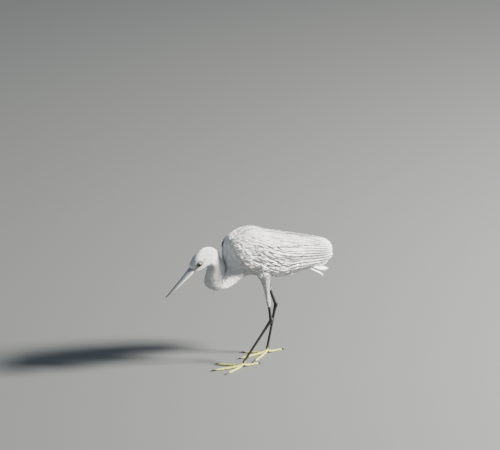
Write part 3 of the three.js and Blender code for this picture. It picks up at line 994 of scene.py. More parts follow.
def tufts(mask, region, columns, rows):
    """Tufts of a region as vanes: shafts walked over the flesh from low roots to tips on the coat's
    surface. A length is at most 1.8 mm + 0.75 of the way to the bare face and 2.6 mm + 0.6 of the way past
    SHORT_FRONT, and creases take off up to 60 %. The depth is at most 0.42 of the length and, near the
    trunk's front, 0.15 of the way to it."""
    found = chosen(root_found, mask)
    p, normal = root[mask], root_normal[mask]
    count, front = len(p), from_front(root[mask])
    length = blended(found, "length") * rng.uniform(0.85, 1.15, count)
    length = np.minimum(length, SHORTEST_AT_BARE + 0.75 * np.maximum(-root_bare[mask], 0))
    length = length * (1 - 0.6 * crease_share(found))
    length = np.minimum(length, SHORTEST_AT_FRONT + 0.6 * np.maximum(front - SHORT_FRONT, 0))
    half = blended(found, "half") * rng.uniform(0.85, 1.15, count)
    half = np.minimum(half, 0.2 * length)
    depth = np.minimum(blended(found, "depth"), 0.42 * length) * rng.uniform(0.85, 1.1, count)
    depth = np.minimum(depth, np.maximum(0.15 * front - 0.3, 0.1))
    lie = lie_of(p, normal, found)
    lie = unit(lie + np.cross(normal, lie) * rng.normal(0, 0.07, (count, 1)))
    share = stations_along(rows)
    heights = depth[:, None] * (-0.1 + 1.08 * share**0.4)
    path, normals = shafts(flesh, p, normal, lie, length, heights)
    width = half[:, None] * profile(share, 0.55, 2.6, 0.75)
    tilt = rng.normal(0, 0.08, count)
    return vanes(path, normals, width, root_maps(region, found), columns, TUFT_THICKNESS, 0.4 / half, tilt)


for region, name in enumerate(REGIONS):
    columns, rows = TRUNK_VANE if region == TRUNK else SMALL_VANE
    here = root_region == region
    if name.startswith("thigh"):
        parts = {"coat_" + name: here}
    else:
        on_left = root[:, 1] < 0
        parts = {"coat_" + name + "_left": here & on_left, "coat_" + name + "_right": here & ~on_left}
    for title, mask in parts.items():
        coat(title, [tufts(mask, region, columns, rows)], tuft_paint)

# %% [markdown]
# On the wing, rows of rounded coverts lie like tiles over the long flight feathers, whose tips make the
# ragged rear edge. Every feather of a row is a line in the wing's own shares: it runs back from its root
# and a little down, and climbs from low in the wing's depth to its surface.


# %% Wing feathers
LONG_COLUMNS = 5
WING_CAMBER = 1 / 60


def wing_normal(side, u, v, height):
    """The cross product of the wing's two slopes, turned outwards."""
    step = 0.004
    slope_u = wing_place(side, u + step, v, height) - wing_place(side, u - step, v, height)
    slope_v = wing_place(side, u, v + step, height) - wing_place(side, u, v - step, height)
    return unit(np.cross(slope_v, slope_u) * side)


def wing_row(side, u0, v0, length, drift, heights, half, shape, rows, tilt, thickness):
    """Feathers with roots (u0, v0), all arrays of one length. drift is the angle down from the wing's long
    axis, and the height, a share of the wing's depth, goes from root to tip as share^0.7, less 0.04 at the
    very tip."""
    share, step = stations_along(rows), 0.02
    reach = length[:, None] * share
    down = wing_place(side, u0, v0 + step, 0.5) - wing_place(side, u0, v0 - step, 0.5)
    stretch_down = np.linalg.norm(down, axis=1)[:, None] / (2 * step)
    u = u0[:, None] + reach * np.cos(drift)[:, None] / WING_STRETCH
    v = v0[:, None] + reach * np.sin(drift)[:, None] / stretch_down
    v = np.clip(v, -0.06, 1.04)
    climb = heights[0] + (heights[1] - heights[0]) * share**0.7
    climb = climb + rng.normal(0, 0.02, (len(u0), 1)) - 0.04 * share**6
    path, normal = wing_place(side, u, v, climb), wing_normal(side, u, v, climb)
    width = half[:, None] * profile(share, *shape)
    root_map = np.stack([np.clip(u0, 0, 1), np.clip(v0, 0, 1)], 1) * 0.96 + 0.02
    lean = side * tilt * rng.uniform(0.7, 1.3, len(u0))
    return vanes(path, normal, width, root_map, LONG_COLUMNS, thickness, WING_CAMBER, lean)


def tiled(u_from, u_to, rows, count, length, half):
    """Roots in offset rows from one share of the wing to another: u, v, lengths and half widths as flat
    arrays. A length or a half width is given for the first row and the last, and each feather's differs by
    up to 8 %."""
    jitter = 0.1
    row, place = np.meshgrid(np.arange(rows), np.arange(count), indexing="ij")
    v = (place + 0.25 + 0.5 * (row % 2) + rng.uniform(-jitter, jitter, row.shape)) / count
    pace = (u_to - u_from) / max(rows - 1, 1)
    u = u_from + row * pace + rng.uniform(-jitter, jitter, row.shape) * max(pace, 0.01)
    part = row / max(rows - 1, 1)
    scale = rng.uniform(0.92, 1.08, row.shape)
    long, wide = (((first + (last - first) * part) * scale).ravel() for first, last in (length, half))
    return u.ravel(), v.ravel(), long, wide


ROUND_TIP = (0.5, 4.2, 0.6)
SOFT_TIP = (0.45, 3.4, 0.7)
LONG_TIP = (0.3, 7.0, 0.6)
POINTED_TIP = (0.45, 2.2, 0.9)
# u of the first and last row, rows, feathers in a row, lengths, half widths, heights, and the drop in
# degrees
COVERTS = [
    (-0.035, -0.005, 4, 44, (13, 16), (1.7, 2.5), (-2.6, 0.72), 30),
    (-0.01, 0.19, 10, 24, (15, 26), (3.0, 5.2), (0.78, 1.02), 24),
    (0.2, 0.34, 4, 17, (30, 38), (6.0, 7.0), (0.78, 0.97), 18),
    (0.35, 0.42, 2, 15, (54, 60), (7.6, 8.2), (0.7, 0.91), 9),
]
# u of the roots and of the tips, where between two places a feather lies, and the height of the root
FLIGHT_LAYERS = [(0.43, 1.0, 0.5, 0.4), (0.5, 0.985, 0.0, -0.1)]
FLIGHT_COUNT = 13
FLIGHT_HALF = 9.0
FLIGHT_CLIMB = 0.45

for side_name, side in SIDES.items():
    covers = []
    for u_from, u_to, rows, count, length, half, heights, drop in COVERTS:
        u0, v0, long, wide = tiled(u_from, u_to, rows, count, length, half)
        drift = np.radians(drop) * (1 - 0.75 * v0) + rng.normal(0, 0.05, len(u0))
        covers.append(wing_row(
            side, u0, v0, long, drift, heights, wide, ROUND_TIP, rows=7, tilt=0.012, thickness=0.12,
        ))
    coat("wing_coverts_" + side_name, covers, vane_paint, ["wing_" + side_name])

    flight = []
    for root_u, tip_u, offset, base in FLIGHT_LAYERS:
        v0 = (np.arange(FLIGHT_COUNT) + offset) / FLIGHT_COUNT
        tip = tip_u - 0.028 * rng.random(FLIGHT_COUNT) - 0.03 * smoothstep(-v0, -0.42, -0.05)
        u0 = root_u + rng.uniform(-0.01, 0.01, FLIGHT_COUNT)
        long, wide = (tip - u0) * WING_STRETCH, np.full(FLIGHT_COUNT, FLIGHT_HALF)
        heights = (base, base + FLIGHT_CLIMB)
        flight.append(wing_row(
            side, u0, v0, long, 0 * v0, heights, wide, LONG_TIP, rows=12, tilt=0.02, thickness=0.18,
        ))
    coat("flight_feathers_" + side_name + ".vanes", flight, vane_paint, ["flight_feathers_" + side_name])

# %% [markdown]
# Over the back lie the mantle and the scapulars: long, narrow, soft feathers that part from the middle line
# and cover the upper edges of both wings. They are rows on the body's form, raised to lie on whatever is
# beneath them. A last row of broader feathers, one behind the other, closes the back's middle line.


# %% Mantle and scapulars
LONG_STATIONS = 9
BACK_THICKNESS = 0.12
BACK_CAMBER = 1 / 45
BACK_COUNT = 19
BACK_T = np.arange(0.075, 0.66, 0.028)
RIDGE_T = np.arange(0.13, 0.8, 0.017)
RIDGE_HALF = 6.2


def back_height(t, angle):
    """How far the body's form is grown there: a little on bare back, and the wing's whole depth over the
    wing."""
    u, v = wing_coordinates(t, angle)
    on_wing = smoothstep(v, -0.08, 0.06) * smoothstep(u, -0.02, 0.06)
    return 0.4 + on_wing * (WING_CLEARANCE + wing_depth(u, v) - 0.2)


def back_row(t0, angle0, length, half, rise, fan):
    """Feathers on the back: t grows by length over the body's length, and the angle by a share, fan, of
    itself. The height over what lies beneath goes as share^0.45 from a sunk root, 3.6 mm deep behind the
    neck and 0.8 mm further back, to rise, less 0.25 mm at the very tip."""
    share = stations_along(LONG_STATIONS)
    t = t0[:, None] + length[:, None] * share / BODY_LENGTH
    angle = angle0[:, None] * (1 + fan * share)
    base = (-0.8 - 2.8 * smoothstep(-t0, -0.16, -0.07))[:, None]
    grow = back_height(t, angle) + base + (rise[:, None] - base) * share**0.45 - 0.25 * share**6
    slope_t = outer_body.at(t + 0.004, angle, grow) - outer_body.at(t - 0.004, angle, grow)
    slope_angle = outer_body.at(t, angle + 0.02, grow) - outer_body.at(t, angle - 0.02, grow)
    normal = unit(np.cross(slope_t, slope_angle))
    width = half[:, None] * profile(share, *SOFT_TIP)
    root_map = np.stack([np.clip(t0, 0, 1), angle0 / (2 * np.pi) + 0.5], 1) * 0.96 + 0.02
    tilt = 0.04 * np.sign(angle0) * smoothstep(np.abs(angle0), 0.05, 0.2)
    path = outer_body.at(t, angle, grow)
    return vanes(path, normal, width, root_map, LONG_COLUMNS, BACK_THICKNESS, BACK_CAMBER, tilt)


back_rows = []
for row, row_t in enumerate(BACK_T):
    spread = np.radians(58 - 30 * row_t)
    angle0 = np.linspace(-spread, spread, BACK_COUNT) + (row % 2 - 0.5) * spread / BACK_COUNT
    long = (13 + 45 * smoothstep(row_t, 0.0, 0.38)) * rng.uniform(0.88, 1.1, BACK_COUNT)
    wide = np.full(BACK_COUNT, 2.5 + 2.8 * smoothstep(row_t, 0.0, 0.26))
    t0 = row_t + rng.uniform(-0.008, 0.008, BACK_COUNT)
    back_rows.append(back_row(t0, angle0, long, wide, rng.uniform(0.2, 0.5, BACK_COUNT), 0.16))
ridge_count = len(RIDGE_T)
angle0, long = rng.normal(0, 0.07, ridge_count), rng.uniform(32, 40, ridge_count)
wide, rise = np.full(ridge_count, RIDGE_HALF), rng.uniform(0.7, 1.0, ridge_count)
back_rows.append(back_row(RIDGE_T, angle0, long, wide, rise, 0.0))
coat("scapulars", back_rows, vane_paint)

# %% [markdown]
# The short tail hides under the wing tips. It is a closed fan of twelve feathers, with soft coverts above
# and below, of which a few loose tips hang out under the wings.

# %% Tail
TAIL_ROOT = np.array([92.0, 0.0, 215.0])
TAIL_SLOPE = np.radians(-25)
TAIL_LENGTH, TAIL_ROUNDING = 80.0, 24.0
TAIL_WIDTHS = (9.0, 11.0)
TAIL_FEATHERS = 12
TAIL_TIP = (0.35, 4.0, 0.75)
TAIL_THICKNESS = 0.35
TAIL_CAMBER = 1 / 40
LOOSE_STARTS = (-30.0, -12.0, 6.0, 20.0)
LOOSE_COUNT = 11
tail_along = np.array([np.cos(TAIL_SLOPE), 0.0, np.sin(TAIL_SLOPE)])
tail_up = np.array([-np.sin(TAIL_SLOPE), 0.0, np.cos(TAIL_SLOPE)])


def tail_row(across, length, start, lift, half, shape, drop, widen=1.0):
    """Fan feathers: each goes from start along the tail for its length, spreads with the fan's half width,
    and keeps to the arch -7 across^2 (0.4 + 0.6 u), with a lift from its root's to its tip's and a drop of
    s^2 at the end."""
    share = stations_along(LONG_STATIONS)[None]
    reach = start + length[:, None] * share
    u = reach / TAIL_LENGTH
    y = across[:, None] * (TAIL_WIDTHS[0] + TAIL_WIDTHS[1] * widen * np.clip(u, 0, 1.3))
    arch = -7 * across[:, None] ** 2 * (0.4 + 0.6 * u)
    height = arch + lift[0] + (lift[1] - lift[0]) * share - drop[:, None] * share**2
    path = TAIL_ROOT + reach[..., None] * tail_along + y[..., None] * ACROSS + height[..., None] * tail_up
    normal = unit(tail_up + ACROSS * (0.7 * across)[:, None, None] + 0 * path)
    width = half[:, None] * profile(share[0], *shape)
    root_map = np.stack([np.full(len(across), 0.5 + start / 400), across / 2.6 + 0.5], 1)
    tilt = -0.05 * np.sign(across)
    return vanes(path, normal, width, root_map, LONG_COLUMNS, TAIL_THICKNESS, TAIL_CAMBER, tilt)


fan = (np.arange(TAIL_FEATHERS) + 0.5) / TAIL_FEATHERS * 2 - 1
inner = 0.9 * fan[1:-1]
tail_rows = [
    tail_row(fan, TAIL_LENGTH - TAIL_ROUNDING * fan**2, 0.0, (0.6, 0.0), 3.6 + 0 * fan, TAIL_TIP, 0 * fan),
    tail_row(inner, 40 + 0 * inner, -14.0, (3.6, 1.2), 4 + 0 * inner, ROUND_TIP, 0 * inner),
]
loose = rng.uniform(-0.95, 0.95, (len(LOOSE_STARTS), LOOSE_COUNT))
for start, across in zip(LOOSE_STARTS, loose):
    long, wide = rng.uniform(42, 56, LOOSE_COUNT), rng.uniform(2.0, 3.0, LOOSE_COUNT)
    drop = rng.uniform(0, 9, LOOSE_COUNT)
    tail_rows.append(tail_row(across, long, start, (-6.5, -3.2), wide, POINTED_TIP, drop, widen=1.15))
coat("tail.vanes", tail_rows, vane_paint, ["tail"])

# %% [markdown]
# The bill is two horny sheaths that meet along the gape line. Each is half an ellipse carried from face to
# tip, closed on the inside. The upper one has a ridge along its top and, on each side, a long groove with
# the nostril slit in it.


# %% The two mandibles
BILL_START = 7.0
BILL = [
    [BILL_START, -1.6, 9.0, 8.4, 6.2],
    [BILL_BASE, -2.0, 8.3, 7.6, 5.9],
    [BILL_BASE + 0.3 * BILL_LENGTH, -2.4, 6.0, 5.6, 4.6],
    [BILL_BASE + 0.65 * BILL_LENGTH, -2.0, 3.9, 3.6, 3.0],
    [BILL_BASE + BILL_LENGTH, 0.0, 1.0, 0.9, 0.9],
]
GAPE_LEVEL = -2.2
GAPE_GAP = 0.22
NOSTRIL = (BILL_BASE + 5.0, BILL_BASE + 13.0)
GROOVE_ANGLE = np.radians(52)
bill_stations = np.array(BILL)
bill_tip = BILL_BASE + BILL_LENGTH


def bill_sizes(s):
    """Forward place, middle height, rises above and below and half width, at shares s of the bill's
    path."""
    return spline(bill_stations, s).T


def groove(forward, angle):
    """Depth in millimetres of the groove and, in it, of the nostril: bells in the angle over a window
    along."""
    off = np.abs(angle) - GROOVE_ANGLE
    wide_bell, narrow_bell = (np.exp(-((off / width) ** 2)) for width in (0.2, 0.075))
    begin, finish = NOSTRIL
    window = smoothstep(forward, BILL_BASE - 4, BILL_BASE + 3)
    window = window * (1 - smoothstep(forward, BILL_BASE + 34, BILL_BASE + 52))
    slit = smoothstep(forward, begin, begin + 1.5) * (1 - smoothstep(forward, finish - 2.5, finish))
    return 0.42 * wide_bell * window + 0.95 * narrow_bell * slit


def mandible(upper):
    """Rows along the bill: across = w sin a, height = gape +- rise (cos a)^p over half a turn of a, then a
    flat way back along the gape line. The upper sheath has a ridge and the groove, the lower one a shallow
    dent on each side, and each end closes on a point in its middle."""
    rows, columns, flat = 150, 41, 7
    ring = columns + flat
    s = np.linspace(0, 1, rows)
    forward, middle, rise, drop, width = bill_sizes(s)
    to_tip = smoothstep(forward, BILL_BASE + 30, bill_tip)
    gape = GAPE_LEVEL + (0.02 - GAPE_LEVEL) * to_tip
    angle = np.linspace(-np.pi / 2, np.pi / 2, columns)[None]
    top = middle + rise if upper else middle - drop
    reach = np.maximum(np.abs(top - gape) - GAPE_GAP, 0.02)[:, None]
    close = np.sqrt(np.clip((1 - s) / 0.012, 0, 1))[:, None]
    bulge = np.cos(angle) ** (0.85 if upper else 0.55)
    if upper:
        behind = smoothstep(forward, BILL_BASE - 6, BILL_BASE + 4)[:, None]
        ridge = 0.35 * np.exp(-((angle / 0.16) ** 2)) * behind * (reach / 9)
        dent = groove(forward[:, None], angle)
    else:
        ridge = 0
        dent = 0.18 * np.exp(-(((np.abs(angle) - 0.75) / 0.2) ** 2))
    dent = dent * smoothstep(reach, 0.6, 2.5)
    wide = (width[:, None] - dent) * np.sin(angle) * close
    high = (reach * bulge - dent * np.cos(angle) * 0.6 + ridge) * close
    back_way = np.linspace(np.pi / 2, -np.pi / 2, flat + 2)[1:-1][None]
    wide = np.concatenate([wide, width[:, None] * np.sin(back_way) * close], 1)
    high = np.concatenate([high, np.zeros((rows, flat))], 1)
    sign = 1 if upper else -1
    level = (gape + sign * GAPE_GAP)[:, None] + sign * high
    places = EYE + forward[:, None, None] * AHEAD + level[..., None] * CROWN + wide[..., None] * ACROSS
    points = np.concatenate([places.reshape(-1, 3), places[[0, -1]].mean(1)])
    around = np.arange(ring)
    after, last = (around + 1) % ring, (rows - 1) * ring
    faces = tube_faces(rows, ring)
    base_cap = np.stack([around, np.full(ring, rows * ring), after], 1)
    tip_cap = np.stack([last + around, last + after, np.full(ring, rows * ring + 1)], 1)
    if upper:
        faces, base_cap, tip_cap = faces[:, ::-1], base_cap[:, ::-1], tip_cap[:, ::-1]
    reach_map = np.concatenate([np.repeat(forward, ring), [BILL_START, bill_tip]])
    dents = np.concatenate([np.broadcast_to(dent, (rows, columns)), np.zeros((rows, flat))], 1).ravel()
    values = {"forward": reach_map / bill_tip, "dent": np.concatenate([dents, [0, 0]])}
    return new_mesh("mandible", points, faces, np.concatenate([base_cap, tip_cap]), values=values)


def horn(name, stops):
    """Horn coloured along its length by a ramp, with painted shade darkening its grooves and nostril, and
    fine streaks along it.
    """
    made, principled = shader(name, 0.36, Specular_IOR_Level=0.45)
    along_bill = {"Vector": object_place(made), "Rotation": (0, -BILL_PITCH, 0), "Scale": (60, 900, 900)}
    streaks = noise(made, node(made, "ShaderNodeMapping", along_bill).outputs[0], 1.0, 3.0)
    nudge = reckon(made, "MULTIPLY_ADD", streaks, 0.10, -0.05)
    colour = ramp(made, reckon(made, "ADD", attribute(made, "forward"), nudge), stops)
    # painted shade: the grooves and the nostril slit darken towards near black with their depth
    deep = spanned(made, attribute(made, "dent"), 0.15, 1.0, To_Max=0.85)
    wire(made, mix(made, deep, colour, (0.02, 0.02, 0.022, 1)), principled.inputs["Base Color"])
    bump(made, principled, streaks, 0.25, 0.0003)
    return made


SLATE, CHARCOAL = (0.17, 0.18, 0.185), (0.09, 0.092, 0.096)
BONE, DRAB = (0.7, 0.69, 0.65), (0.4, 0.4, 0.385)
UPPER_HORN = [(0.1, SLATE), (0.3, (0.2, 0.21, 0.22)), (0.7, (0.14, 0.145, 0.15)), (1.0, CHARCOAL)]
LOWER_HORN = [
    (0.1, BONE), (0.42, (0.62, 0.61, 0.58)), (0.62, DRAB), (0.85, (0.16, 0.16, 0.165)), (1.0, CHARCOAL),
]
upper_horn, lower_horn = horn("upper_horn", UPPER_HORN), horn("lower_horn", LOWER_HORN)
piece("bill_upper.horn", mandible(True), upper_horn, ["bill_upper"])
piece("bill_lower.horn", mandible(False), lower_horn, ["bill_lower"])

# %% [markdown]
# An egret's eye has a round black pupil in a yellow iris, and is set low and forward so that it looks down
# along the bill. The yellow is painted dull and dark as painted shade, because the picture shows the eye
# dark in shadow. The ball's clear front bulges a little. Colours follow the angle from its axis, so they
# need no picture.

# %% Eyes
EYE_ROWS, EYE_COLUMNS = 60, 48
EYE_GAP = 0.1
CORNEA = 0.35
PUPIL, IRIS_EDGE = np.radians(35), np.radians(52)


def eye_axes(side):
    """The eye's axis, sideways, a little forward and down, and two directions square to it."""
    axis = unit(side * ACROSS + 0.22 * AHEAD - 0.02 * CROWN)
    first = unit(AHEAD - axis * (AHEAD @ axis))
    return axis, first, np.cross(axis, first)


def round_eye(side, off, turn, radius):
    """Places = the eye's middle + radius (axis cos(off) + first sin(off) cos(turn) + second sin(off)
    sin(turn))."""
    axis, first, second = eye_axes(side)
    flat = np.sin(off)[..., None] * (np.cos(turn)[..., None] * first + np.sin(turn)[..., None] * second)
    return EYE + side * EYE_OFFSET * ACROSS + radius[..., None] * (np.cos(off)[..., None] * axis + flat)


def ball(side):
    """Radius 5.4 mm, with the front raised by 0.35 mm: all of it within 20 degrees of the axis, and none
    past 58."""
    off = np.linspace(0, np.pi, EYE_ROWS)[:, None]
    turn = np.linspace(0, 2 * np.pi, EYE_COLUMNS, endpoint=False)[None]
    radius = EYE_RADIUS - EYE_GAP + CORNEA * smoothstep(-off, -np.radians(58), -np.radians(20))
    places = round_eye(side, off, turn, radius)
    values = {"off_axis": np.repeat(off[:, 0], EYE_COLUMNS)}
    return new_mesh("eye", places.reshape(-1, 3), tube_faces(EYE_ROWS, EYE_COLUMNS), values=values)


eye_paint, eye_shader = shader(
    "eye_paint", 0.08, Coat_Weight=0.6, Coat_Roughness=0.02, Specular_IOR_Level=0.15,
)
flecks = noise(eye_paint, object_place(eye_paint), 900.0, 3.0)
shake = reckon(eye_paint, "MULTIPLY_ADD", flecks, 0.08, -0.04)
turned = reckon(eye_paint, "ADD", attribute(eye_paint, "off_axis"), shake)
share_off = reckon(eye_paint, "DIVIDE", turned, np.pi)
# the iris yellow is dulled and darkened as painted shade; the real iris is pale yellow
iris = [
    (PUPIL / np.pi - 0.006, (0.004, 0.004, 0.004)),
    (PUPIL / np.pi + 0.006, (0.2, 0.165, 0.05)),
    (0.5 * (PUPIL + IRIS_EDGE) / np.pi, (0.36, 0.31, 0.1)),
    (IRIS_EDGE / np.pi - 0.02, (0.27, 0.23, 0.08)),
    (IRIS_EDGE / np.pi + 0.01, (0.03, 0.028, 0.02)),
]
wire(eye_paint, ramp(eye_paint, share_off, iris), eye_shader.inputs["Base Color"])

# %% [markdown]
# Bare lids ring each eye. Each ring is a rolled rim, carried round the ball, that rises over it at the
# opening and dives under the skin at its outer edge. The upper lid comes lower, which gives the bird its
# stern look.

# %% Lids
LID_COLUMNS = 72
# angle from the opening and height over the ball, from inside the rim to under the skin
LID_PROFILE = np.array([
    [0.0, -0.35], [-0.02, 0.12], [0.03, 0.38], [0.11, 0.5],
    [0.24, 0.5], [0.42, 0.36], [0.6, -0.3], [0.3, -0.6],
])
LID_RIM = [1.0, 1.0, 0.9, 0.35, 0.1, 0, 0, 0]
LID_GAP = 0.12


def lid(side):
    """A closed ring: angle from the axis = opening + profile, radius = ball + profile, where the opening is
    48 degrees and falls by 7 above the eye and by 2 below it."""
    _, first, second = eye_axes(side)
    turn = np.linspace(0, 2 * np.pi, LID_COLUMNS, endpoint=False)[:, None]
    up_share = np.cos(turn) * (first @ CROWN) + np.sin(turn) * (second @ CROWN)
    opening = np.radians(48 - 7 * np.maximum(up_share, 0) ** 1.5 - 2 * np.maximum(-up_share, 0))
    wrinkle = 0.05 * np.sin(17 * turn + side) * np.clip(LID_PROFILE[:, 1], 0, 1)
    off = opening + LID_PROFILE[:, 0][None]
    places = round_eye(side, off, turn, EYE_RADIUS + LID_GAP + LID_PROFILE[:, 1][None] + wrinkle)
    count = len(LID_PROFILE)
    i, j = np.meshgrid(np.arange(LID_COLUMNS), np.arange(count), indexing="ij")
    here, after = i * count, (i + 1) % LID_COLUMNS * count
    k = (j + 1) % count
    faces = np.stack([here + j, here + k, after + k, after + j], -1).reshape(-1, 4)
    rim = np.tile(np.array(LID_RIM), LID_COLUMNS)
    return new_mesh("lid", places.reshape(-1, 3), faces, values={"rim": rim})


# grey-green lid skin darkening to near black at the opening: a dark lid edge, deepened by painted shade
# where the lid meets the ball
LID_COLOURS = [(0.0, (0.2, 0.23, 0.2)), (0.3, (0.09, 0.1, 0.09)), (0.7, (0.015, 0.015, 0.015))]
lid_paint, lid_shader = shader("lid_paint", 0.5)
wire(lid_paint, ramp(lid_paint, attribute(lid_paint, "rim"), LID_COLOURS), lid_shader.inputs["Base Color"])
bump(lid_paint, lid_shader, noise(lid_paint, object_place(lid_paint), 2500.0, 2.0), 0.3, 0.0002)


def outwards(mesh):
    """Turns a closed mesh's faces out where its volume, the sum of corner products over its faces, is
    negative."""
    mesh.calc_loop_triangles()
    corner = numbers(mesh.loop_triangles, "vertices", 3, np.int32)
    place = numbers(mesh.vertices, "co", 3)[corner]
    if (place[:, 0] * np.cross(place[:, 1], place[:, 2])).sum() < 0:
        mesh.flip_normals()
    return mesh


for side_name, side in SIDES.items():
    piece("eye_" + side_name + ".ball", outwards(ball(side)), eye_paint, ["eye_" + side_name])
    piece("lids_" + side_name, outwards(lid(side)), lid_paint)

# %% [markdown]
# Each leg below its feathers is one scaly skin, from the shank over the ankle to the toes. Tubes for the
# shank and the four toes are melted together, as the flesh was, and shallow plates are pressed into the
# front and the toes' tops.

# %% Legs
SHANK_RADIUS = 2.9
ANKLE_RADIUS = 4.6
# for each toe its angle from the foot's heading in degrees, its length and its radius
TOES = {"inner": (-30, 48, 2.7), "middle": (0, 63, 2.9), "outer": (31, 53, 2.7), "hind": (176, 36, 2.7)}
TOE_ROUND = (0.06, 0.08)
FOOT_SPREAD = 1.12
CLAW_LENGTH = 10.0
LEG_VOXEL = 0.62
LEG_BLEND = 1.5
SHANK_PLATE, TOE_PLATE = 3.1, 2.4


def shank_stations(name):
    """Rings from inside the thigh's feathers over the ankle, 1.6 times as thick as the shank, down to the
    foot."""
    leg, y, r = LEGS[name], SIDES[name] * LEG_SPREAD, SHANK_RADIUS
    cuff, ankle, foot = (np.array([leg[key][0], y, leg[key][1]], float) for key in ("cuff", "ankle", "foot"))
    foot = foot * [1, FOOT_SPREAD, 1]

    def between(first, last, s, size, narrow):
        """A ring a share s of the way from first to last, narrower across."""
        return [*(first + (last - first) * s), size, size, narrow * size]

    above = [(-0.25, 1), (0.3, 1), (0.8, 1.15)]
    below = [(0.13, 1.15), (0.5, 0.92), (0.86, 1), (1, 1.25)]
    knob = [ankle[0] + 0.6, y, ankle[2], ANKLE_RADIUS, ANKLE_RADIUS, 0.92 * ANKLE_RADIUS]
    upper = [between(cuff, ankle, s, size * r, 0.92) for s, size in above]
    return [*upper, knob, *(between(ankle, foot, s, size * r, 0.86) for s, size in below)]


def toe_frame(name, toe):
    """A toe's direction, the direction across it and its root, on the floor."""
    leg, side = LEGS[name], SIDES[name]
    heading = np.radians(leg["heading"] + side * TOES[toe][0])
    ahead = np.array([np.cos(heading), np.sin(heading), 0.0])
    return ahead, np.cross(UP, ahead), np.array([leg["foot"][0], side * LEG_SPREAD * FOOT_SPREAD, 0.0])


def toe_loft(name, toe):
    """A toe that comes down from the foot joint and lies flat, with pads where its joints are."""
    ahead, across, start = toe_frame(name, toe)
    _, length, r = TOES[toe]
    flat = r - 0.5
    rows = [
        (0, 7, 0.95), (0.16, flat + 1.4, 0.95), (0.34, flat, 1.02), (0.45, 0.96 * flat, 0.88),
        (0.55, 0.92 * flat, 0.93), (0.68, 0.9 * flat, 0.8), (0.78, 0.9 * flat, 0.9), (1, 0.78 * flat, 0.72),
    ]
    stations = [[*(start + ahead * length * s + UP * z), r * w, r * w, r * w] for s, z, w in rows]
    return Loft(stations, TOE_ROUND, side=across, rings=(30, 20))


def plates(along, period):
    """Lapping plates along a limb: each rises slowly and ends in a short step, as (0.35 + 0.65 s) (1 -
    s^10)."""
    s = np.mod(along / period, 1)
    return (0.35 + 0.65 * s) * (1 - s**10)


def leg_mesh(name):
    """The melted leg with plates of 0.3 mm on the front of the shank and 0.24 mm on top of the toes."""
    shank = Loft(shank_stations(name), (0.03, 0.05), rings=(120, 20))
    toes = [toe_loft(name, toe) for toe in TOES]
    form = Form([shank, *toes], [LEG_BLEND] * 5)
    mesh, places, normal = melted_mesh("leg", form, LEG_VOXEL)
    t, angle, _, near_shank = shank.locate(places)
    pace = np.linalg.norm(np.diff(shank.samples, axis=0), axis=1)
    run = np.interp(t, np.linspace(0, 1, PATH_SAMPLES), np.concatenate([[0], np.cumsum(pace)]))
    front = smoothstep(np.abs(angle), 1.9, 2.3) * smoothstep(places[:, 2], 9, 14)
    relief = 0.3 * front * (plates(run, SHANK_PLATE) - 0.6)
    for toe, loft in zip(TOES, toes):
        t, angle, _, near = loft.locate(places)
        top = smoothstep(-np.abs(angle), -1.25, -0.9) * smoothstep(near_shank - near, 0.0, 1.0)
        top = top * smoothstep(-near, -1.0, -0.3)
        relief += 0.24 * top * (plates(t * TOES[toe][1], TOE_PLATE) - 0.6)
    places = places + normal * relief[:, None]
    places[:, 2] = np.maximum(places[:, 2], 0)
    set_places(mesh, places)
    return mesh


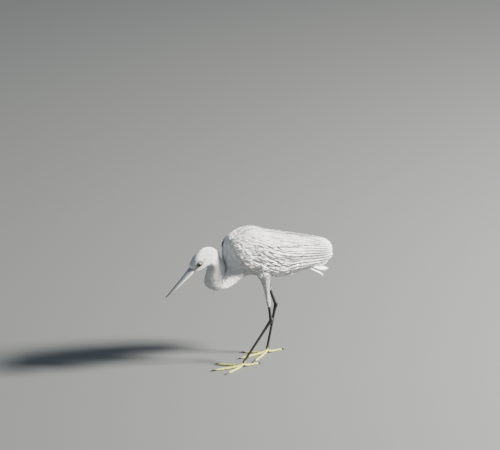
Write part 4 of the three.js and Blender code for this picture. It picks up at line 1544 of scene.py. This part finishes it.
# yellow toes up to about 1 cm over the floor, black above
LEG_COLOURS = [
    (0.0, (0.36, 0.34, 0.1)), (0.2, (0.46, 0.45, 0.13)), (0.32, (0.34, 0.36, 0.13)),
    (0.46, (0.05, 0.05, 0.035)), (1.0, (0.022, 0.02, 0.019)),
]
COLOURED_HEIGHT = 0.03
leg_paint, leg_shader = shader("leg_paint", 0.46, Specular_IOR_Level=0.25)
leg_place = object_place(leg_paint)
leg_height = node(leg_paint, "ShaderNodeSeparateXYZ", {"Vector": leg_place}).outputs["Z"]
leg_nudge = reckon(leg_paint, "MULTIPLY_ADD", noise(leg_paint, leg_place, 260.0, 4.0), 0.012, -0.006)
leg_share = spanned(leg_paint, reckon(leg_paint, "ADD", leg_height, leg_nudge), 0.0, COLOURED_HEIGHT)
leg_seams = spanned(leg_paint, cell_edges(leg_paint, leg_place, 620.0), 0.0, 0.12, To_Min=0.7)
leg_tint = mix(leg_paint, 1.0, ramp(leg_paint, leg_share, LEG_COLOURS), leg_seams, "MULTIPLY")
wire(leg_paint, leg_tint, leg_shader.inputs["Base Color"])
bump(leg_paint, leg_shader, leg_seams, 0.3, 0.0004)

for side_name in SIDES:
    nodes = ["shank_" + side_name, "tarsus_" + side_name] + ["toe_" + toe + "_" + side_name for toe in TOES]
    piece("leg_" + side_name, outwards(leg_mesh(side_name)), leg_paint, nodes)

# %% [markdown]
# Each toe ends in a curved black claw, a tapering tube that leaves the toe high and comes down to the
# floor.

# %% Claws
CLAW_ROWS = [(-0.12, 1.9, 1.15), (0.05, 2.2, 1.35), (0.3, 2.7, 1.4), (0.65, 2.3, 0.95), (1.0, 0.75, 0.3)]


def claw_mesh(name, toe):
    """Rings at shares of the claw's 10 mm beyond the toe's tip, with their own height and radius."""
    ahead, across, start = toe_frame(name, toe)
    length = TOES[toe][1]
    stations = [
        [*(start + ahead * (length + CLAW_LENGTH * s) + UP * z), r, r, 0.78 * r] for s, z, r in CLAW_ROWS
    ]
    loft = Loft(stations, (0.1, 0.25), side=across, rings=(26, 16))
    # the tip is thinner than a loft's least radius
    loft.stations[:, 3:] = np.array(stations)[:, 3:]
    grid = loft.grid()
    grid[..., 2] = np.maximum(grid[..., 2], 0)
    return outwards(new_mesh("claw", grid.reshape(-1, 3), tube_faces(*grid.shape[:2])))


claw_paint, claw_shader = shader("claw_paint", 0.3, (0.02, 0.018, 0.016), Specular_IOR_Level=0.5)
claw_noise = noise(claw_paint, object_place(claw_paint), 700.0, 2.0)
claw_colour = ramp(claw_paint, claw_noise, [(0.35, (0.012, 0.011, 0.01)), (0.7, (0.05, 0.042, 0.034))])
wire(claw_paint, claw_colour, claw_shader.inputs["Base Color"])
for side_name in SIDES:
    for toe in TOES:
        label = toe + "_" + side_name
        piece("claw_" + label + ".horn", claw_mesh(side_name, toe), claw_paint, ["claw_" + label])
